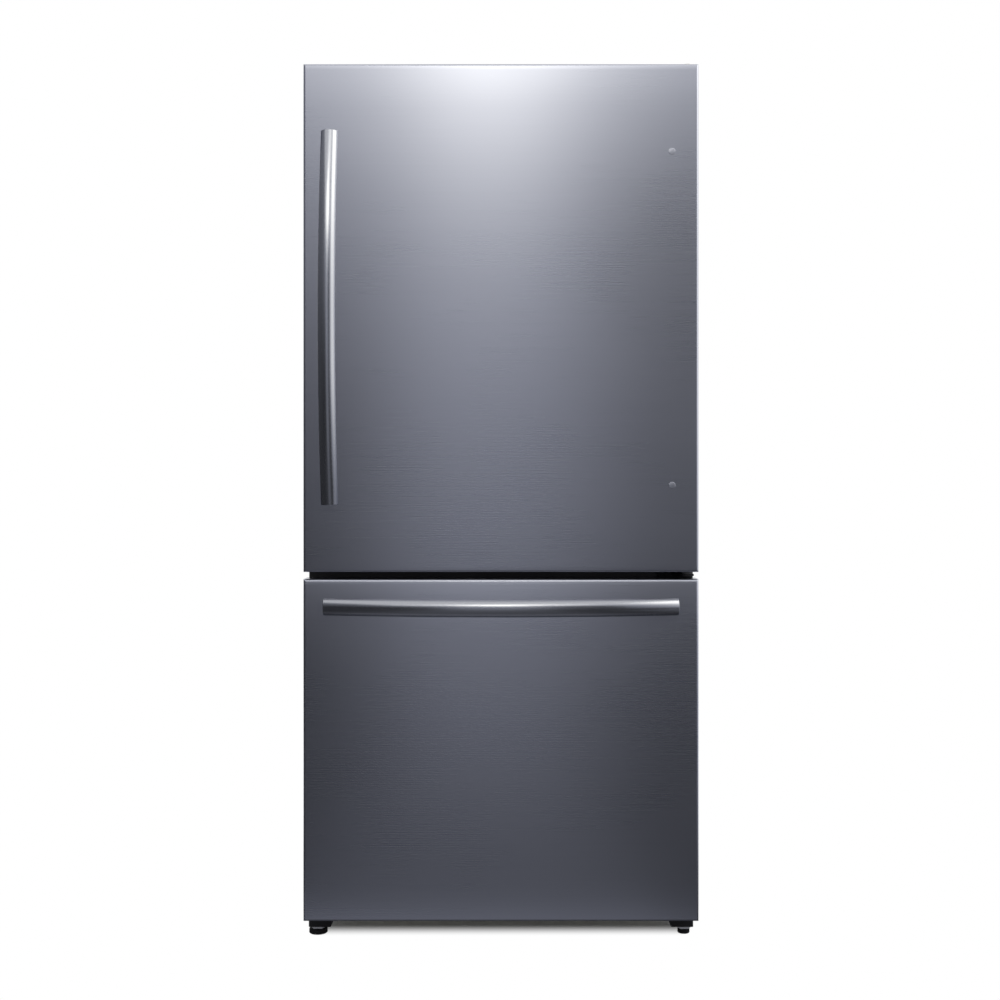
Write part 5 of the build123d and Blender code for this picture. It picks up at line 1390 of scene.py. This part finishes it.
@dataclass(frozen=True)
class ReflectionCard:
    """A glowing card that lights nothing and shows only in reflections: a painted reflection.

    Its levels are places along its axis, each with a brightness. Its fall is places from left to
    right, each with what the brightness is multiplied by.
    """

    name: str
    corners: tuple[Point, Point, Point, Point]
    levels: tuple[Span, ...]
    fall: tuple[Span, ...] = ()
    axis: Axis = Axis.UPRIGHT

    @staticmethod
    def along(board: NodeBoard, place: Socket, points: tuple[Span, ...]) -> Socket:
        """Follow a curve through points.

        Args:
            board: The card's node tree.
            place: The place along the curve, in metres.
            points: Each point's place and value, in rising order.

        Returns:
            The curve's value at the place.
        """
        low, high = points[0][0], points[-1][0]
        peak = max(value for _, value in points)
        curve = board.add("ShaderNodeFloatCurve")
        knots = curve.mapping.curves[0].points
        knots[0].location = (0.0, points[0][1] / peak)
        knots[1].location = (1.0, points[-1][1] / peak)
        for spot, value in points[1:-1]:
            knots.new((spot - low) / (high - low), value / peak)
        curve.mapping.update()
        board.tree.links.new(board.ranged(place, (low, high), WHOLE), curve.inputs["Value"])
        return board.reckon("MULTIPLY", curve.outputs[0], peak)

    def brightness(self, board: NodeBoard) -> Socket:
        """Make the card's brightness along its axis, and from left to right where it falls off.

        Args:
            board: The card's node tree.

        Returns:
            The brightness' socket.
        """
        place = board.split()
        level = self.along(board, place[self.axis.value], self.levels)
        if not self.fall:
            return level
        return board.reckon("MULTIPLY", level, self.along(board, place[Axis.ACROSS.value], self.fall))

    def tint(self, board: NodeBoard, level: Socket) -> Socket:
        """Colour the card by its brightness.

        Args:
            board: The card's node tree.
            level: The brightness.

        Returns:
            The colour's socket.
        """
        ramp = board.add("ShaderNodeValToRGB", {}, {"Fac": board.ranged(level, (0.0, CARD_TOP), WHOLE)})
        stops = ramp.color_ramp.elements
        for stop, (position, colour) in ((stops[0], CARD_TINTS[0]), (stops[1], CARD_TINTS[-1])):
            stop.position = position
            stop.color = (*colour, 1.0)
        for position, colour in CARD_TINTS[1:-1]:
            stops.new(position).color = (*colour, 1.0)
        return ramp.outputs["Color"]

    def build(self) -> None:
        """Make the card, and keep it out of all but reflections."""
        sketch = Sketch()
        sketch.sheet(self.corners)
        made = sketch.piece(self.name)
        board = NodeBoard.material(self.name + "_face")
        level = self.brightness(board)
        glow = board.add("ShaderNodeEmission", {}, {"Strength": level, "Color": self.tint(board, level)})
        made.data.materials.append(board.finish(glow.outputs[0]))
        made.visible_camera = False
        made.visible_diffuse = False
        made.visible_transmission = False
        made.visible_shadow = False


def wall(low: float, high: float) -> tuple[Point, Point, Point, Point]:
    """Return the corners of a card that stands in front of the object, between two heights."""
    return ((-WALL_HALF, WALL_Y, low), (WALL_HALF, WALL_Y, low),
            (WALL_HALF, WALL_Y, high), (-WALL_HALF, WALL_Y, high))


# Painted reflections: these cards glow only in reflections and light nothing. The wall cards paint a bright
# gradient into the steel, the floor cards a dark floor where the real floor is pale, and the side cards the
# sides.
CARDS = (
    ReflectionCard(
        "lower_wall_card", wall(0.0, 1.7),
        levels=((0.0, 0.26), (0.32, 0.29), (0.9, 0.345), (1.34, 0.455), (1.7, 0.57)),
        fall=((-1.75, 0.13), (-1.2, 0.23), (-0.83, 0.46), (-0.45, 0.97), (-0.12, 1.02), (0.1, 0.99),
              (0.44, 0.78), (0.83, 0.45), (1.1, 0.28), (1.75, 0.16)),
    ),
    ReflectionCard(
        "upper_wall_card", wall(1.7, 2.6),
        levels=((1.7, 0.57), (1.8, 0.595), (2.24, 0.79), (2.6, 1.31)),
        fall=((-1.75, 0.38), (-1.2, 0.43), (-0.83, 0.52), (-0.45, 0.88), (-0.12, 1.0), (0.1, 0.97),
              (0.44, 0.64), (0.83, 0.29), (1.1, 0.17), (1.75, 0.10)),
    ),
    ReflectionCard(
        "top_glow_card", wall(2.6, 3.9),
        levels=((2.6, 1.31), (2.9, 3.4), (3.1, 5.1), (3.35, 4.7), (3.6, 3.6), (3.9, 3.0)),
        fall=((-1.75, 0.30), (-0.83, 0.44), (-0.45, 0.76), (-0.12, 1.0), (0.1, 0.96), (0.44, 0.58),
              (0.83, 0.40), (1.2, 0.28), (1.75, 0.20)),
    ),
    ReflectionCard(
        "high_glow_card", wall(3.9, 5.6),
        levels=((3.9, 2.2), (4.4, 2.2), (5.0, 2.0), (5.6, 1.6)),
        fall=((-1.75, 0.35), (-0.95, 0.62), (-0.45, 0.72), (0.1, 0.84), (0.44, 1.04), (0.83, 0.9),
              (1.75, 0.6)),
    ),
    ReflectionCard(
        "painted_dark_floor_reflection",
        ((-1.75, -3.4, 0.002), (1.75, -3.4, 0.002), (2.266, 0.35, 0.002), (-2.267, 0.35, 0.002)),
        levels=((-3.4, 0.26), (-2.0, 0.18), (-0.95, 0.130), (-0.65, 0.120), (-0.50, 0.19), (-0.42, 0.26),
                (-0.34, 0.10), (-0.2, 0.06), (0.35, 0.06)),
        fall=((-1.75, 0.32), (-0.83, 0.38), (-0.45, 0.85), (-0.1, 1.0), (0.2, 0.93), (0.45, 0.55),
              (0.83, 0.28), (1.75, 0.26)),
        axis=Axis.DEEP,
    ),
    ReflectionCard(
        "painted_right_floor_reflection",
        ((0.66, -1.6, 0.004), (1.98, -1.6, 0.004), (2.24, 0.2, 0.004), (0.66, 0.2, 0.004)),
        levels=((0.66, 0.05), (0.80, 0.10), (1.1, 0.16), (1.5, 0.32), (1.85, 0.45), (2.24, 0.45)),
        axis=Axis.ACROSS,
    ),
    ReflectionCard(
        "left_side_card",
        ((-1.75, -3.4, 0.0), (-2.55, 2.4, 0.0), (-2.55, 2.4, 3.0), (-1.75, -3.4, 3.0)),
        levels=((0.0, 0.04), (0.9, 0.05), (1.55, 0.12), (2.2, 0.22), (3.0, 0.3)),
    ),
    ReflectionCard(
        "right_side_card",
        ((1.75, -3.4, 0.0), (2.3, 0.6, 0.0), (2.3, 0.6, 4.4), (1.75, -3.4, 4.4)),
        levels=((0.0, 0.30), (0.45, 0.50), (0.9, 1.05), (1.3, 1.40), (1.6, 1.40), (2.2, 1.9), (3.0, 2.8),
                (4.4, 2.9)),
        fall=((1.75, 0.2), (1.88, 0.45), (1.98, 1.0), (2.3, 1.0)),
    ),
)


@dataclass(frozen=True)
class SoftLamp:
    """A large square lamp that no metal mirrors."""

    name: str
    place: Point
    side: float
    power: float

    def build(self, aim: Point) -> None:
        """Hang the lamp.

        Args:
            aim: What it points at.
        """
        data = bpy.data.lights.new(self.name, "AREA")
        data.shape = "RECTANGLE"
        data.size = data.size_y = self.side
        data.energy = self.power
        made = bpy.data.objects.new(self.name, data)
        made.location = self.place
        made.rotation_euler = (Vector(aim) - Vector(self.place)).to_track_quat("-Z", "Y").to_euler()
        made.visible_glossy = False
        bpy.context.scene.collection.objects.link(made)


LAMPS = (
    SoftLamp("front_soft_lamp", (-1.2, -3.0, 3.0), 1.8, 70.0),
    SoftLamp("side_soft_lamp", (2.6, -1.8, 2.6), 1.6, 55.0),
    SoftLamp("rear_soft_lamp", (0.6, 3.2, 2.8), 1.8, 60.0),
)


@dataclass
class Studio:
    """Floor, world, lamps, reflection cards and camera.

    The floor keeps its shadow within a rectangle round the object, and turns white beyond it.
    """

    camera_place: Point = (-0.002, -2.90, 0.895)
    lens: float = 46.6
    sensor: float = 36.0
    view_reach: float = 60.0
    lamp_aim: Point = (0.0, 0.0, 0.8)
    soft_level: float = 0.55
    seen_level: float = 1.0
    floor_radius: float = 9.0
    floor_sides: int = 96
    floor_scale: Point = (30.0, 30.0, 30.0)
    floor_shades: Span = (0.88, 0.92)
    floor_depth: float = 0.0002
    shadow_middle: tuple[float, float] = (0.0, 0.142)
    shadow_half: tuple[float, float] = (0.365, 0.3135)
    shadow_fade: tuple[float, float] = (0.04, 0.074)

    def build(self) -> None:
        """Make the whole studio."""
        self.make_world()
        self.make_floor()
        for lamp in LAMPS:
            lamp.build(self.lamp_aim)
        for card in CARDS:
            card.build()
        self.make_camera()
        bpy.context.scene.view_settings.view_transform = "Standard"

    def white(self, board: NodeBoard) -> Socket:
        """Make the level of a white surround: full where it is seen or mirrored, and soft where it lights.

        Args:
            board: The node tree.

        Returns:
            The level's socket.
        """
        path = board.add("ShaderNodeLightPath").outputs
        seen = board.reckon("MAXIMUM", path["Is Camera Ray"], path["Is Glossy Ray"])
        seen = board.reckon("MAXIMUM", seen, path["Is Transmission Ray"])
        return board.ranged(seen, WHOLE, (self.soft_level, self.seen_level))

    def make_world(self) -> None:
        """Surround the object with white."""
        world = bpy.data.worlds.new("studio_world")
        bpy.context.scene.world = world
        board = NodeBoard(world)
        sockets = {"Color": (1.0, 1.0, 1.0, 1.0), "Strength": self.white(board)}
        light = board.add("ShaderNodeBackground", {}, sockets)
        board.add("ShaderNodeOutputWorld", {}, {"Surface": light.outputs[0]})

    def make_floor(self) -> None:
        """Lay a pale floor that keeps the object's shadow and turns into the white background."""
        sketch = Sketch()
        sketch.sheet(circle(self.floor_radius, 0.0, self.floor_sides))
        floor = sketch.piece("studio_floor")
        board = NodeBoard.material("pale_studio_floor")
        grain = board.noise(self.floor_scale, detail=3.0)
        low, high = self.floor_shades
        colour = board.tinted(grain, (low, low, low), (high, high, high))
        matt = board.add("ShaderNodeBsdfDiffuse", {}, {
            "Color": colour, "Normal": board.bump(grain, self.floor_depth)})
        white = board.add("ShaderNodeEmission", {}, {"Strength": self.white(board)})
        mixed = board.add("ShaderNodeMixShader", {}, {
            0: self.beyond_shadow(board), 1: matt.outputs[0], 2: white.outputs[0]})
        floor.data.materials.append(board.finish(mixed.outputs[0]))

    def beyond_shadow(self, board: NodeBoard) -> Socket:
        """Find how far a point of the floor lies outside the part that keeps the shadow.

        Args:
            board: The floor's node tree.

        Returns:
            A socket that goes smoothly from 0 inside to 1 outside.
        """
        place = board.split()
        beyond = {}
        for number in (Axis.ACROSS.value, Axis.DEEP.value):
            away = board.reckon("SUBTRACT", place[number], self.shadow_middle[number])
            over = board.reckon("SUBTRACT", board.reckon("ABSOLUTE", away), self.shadow_half[number])
            over = board.reckon("MAXIMUM", over, 0.0)
            beyond[number] = board.reckon("DIVIDE", over, self.shadow_fade[number])
        outward = board.add("ShaderNodeCombineXYZ", {}, beyond).outputs[0]
        far = board.add("ShaderNodeVectorMath", {"operation": "LENGTH"}, {0: outward}).outputs["Value"]
        return board.ranged(far, WHOLE, WHOLE, smooth=True)

    def make_camera(self) -> None:
        """Set the camera up, level and straight in front."""
        data = bpy.data.cameras.new("photo_camera")
        data.lens = self.lens
        data.sensor_width = self.sensor
        data.clip_end = self.view_reach
        made = bpy.data.objects.new("photo_camera", data)
        made.location = self.camera_place
        made.rotation_euler = (QUARTER_TURN, 0.0, 0.0)
        bpy.context.scene.collection.objects.link(made)
        bpy.context.scene.camera = made


def main() -> None:
    """Build every sub-assembly in order, then the studio."""
    logging.basicConfig(level=logging.INFO, format="%(message)s")
    assemblies: list[SubAssembly] = [
        Cabinet("cabinet"),
        FreshFoodFittings("cabinet"),
        Machinery("cabinet"),
        Compressor("cabinet"),
        EvaporatorCoil("cabinet"),
        CondenserCoil("cabinet"),
        DoorFront("door"),
        BowedHandle("door"),
        UpperDoor("door"),
        DoorSeal("door"),
        DoorFront("drawer", skin="drawer_skin", steel=STEEL_DRAWER, folded_ends=False),
        BowedHandle("drawer", node="drawer_handle", upright=False),
        FreezerDrawer("drawer"),
        DoorSeal("drawer", node="drawer_gasket"),
        LevellingFoot("foot_left"),
        LevellingFoot("foot_right", pad_radius=0.0125),
        RearRoller("roller_left"),
        RearRoller("roller_right"),
    ]
    for assembly in assemblies:
        assembly.build()
        assembly.report()
    Studio().build()


if __name__ == "__main__":
    main()
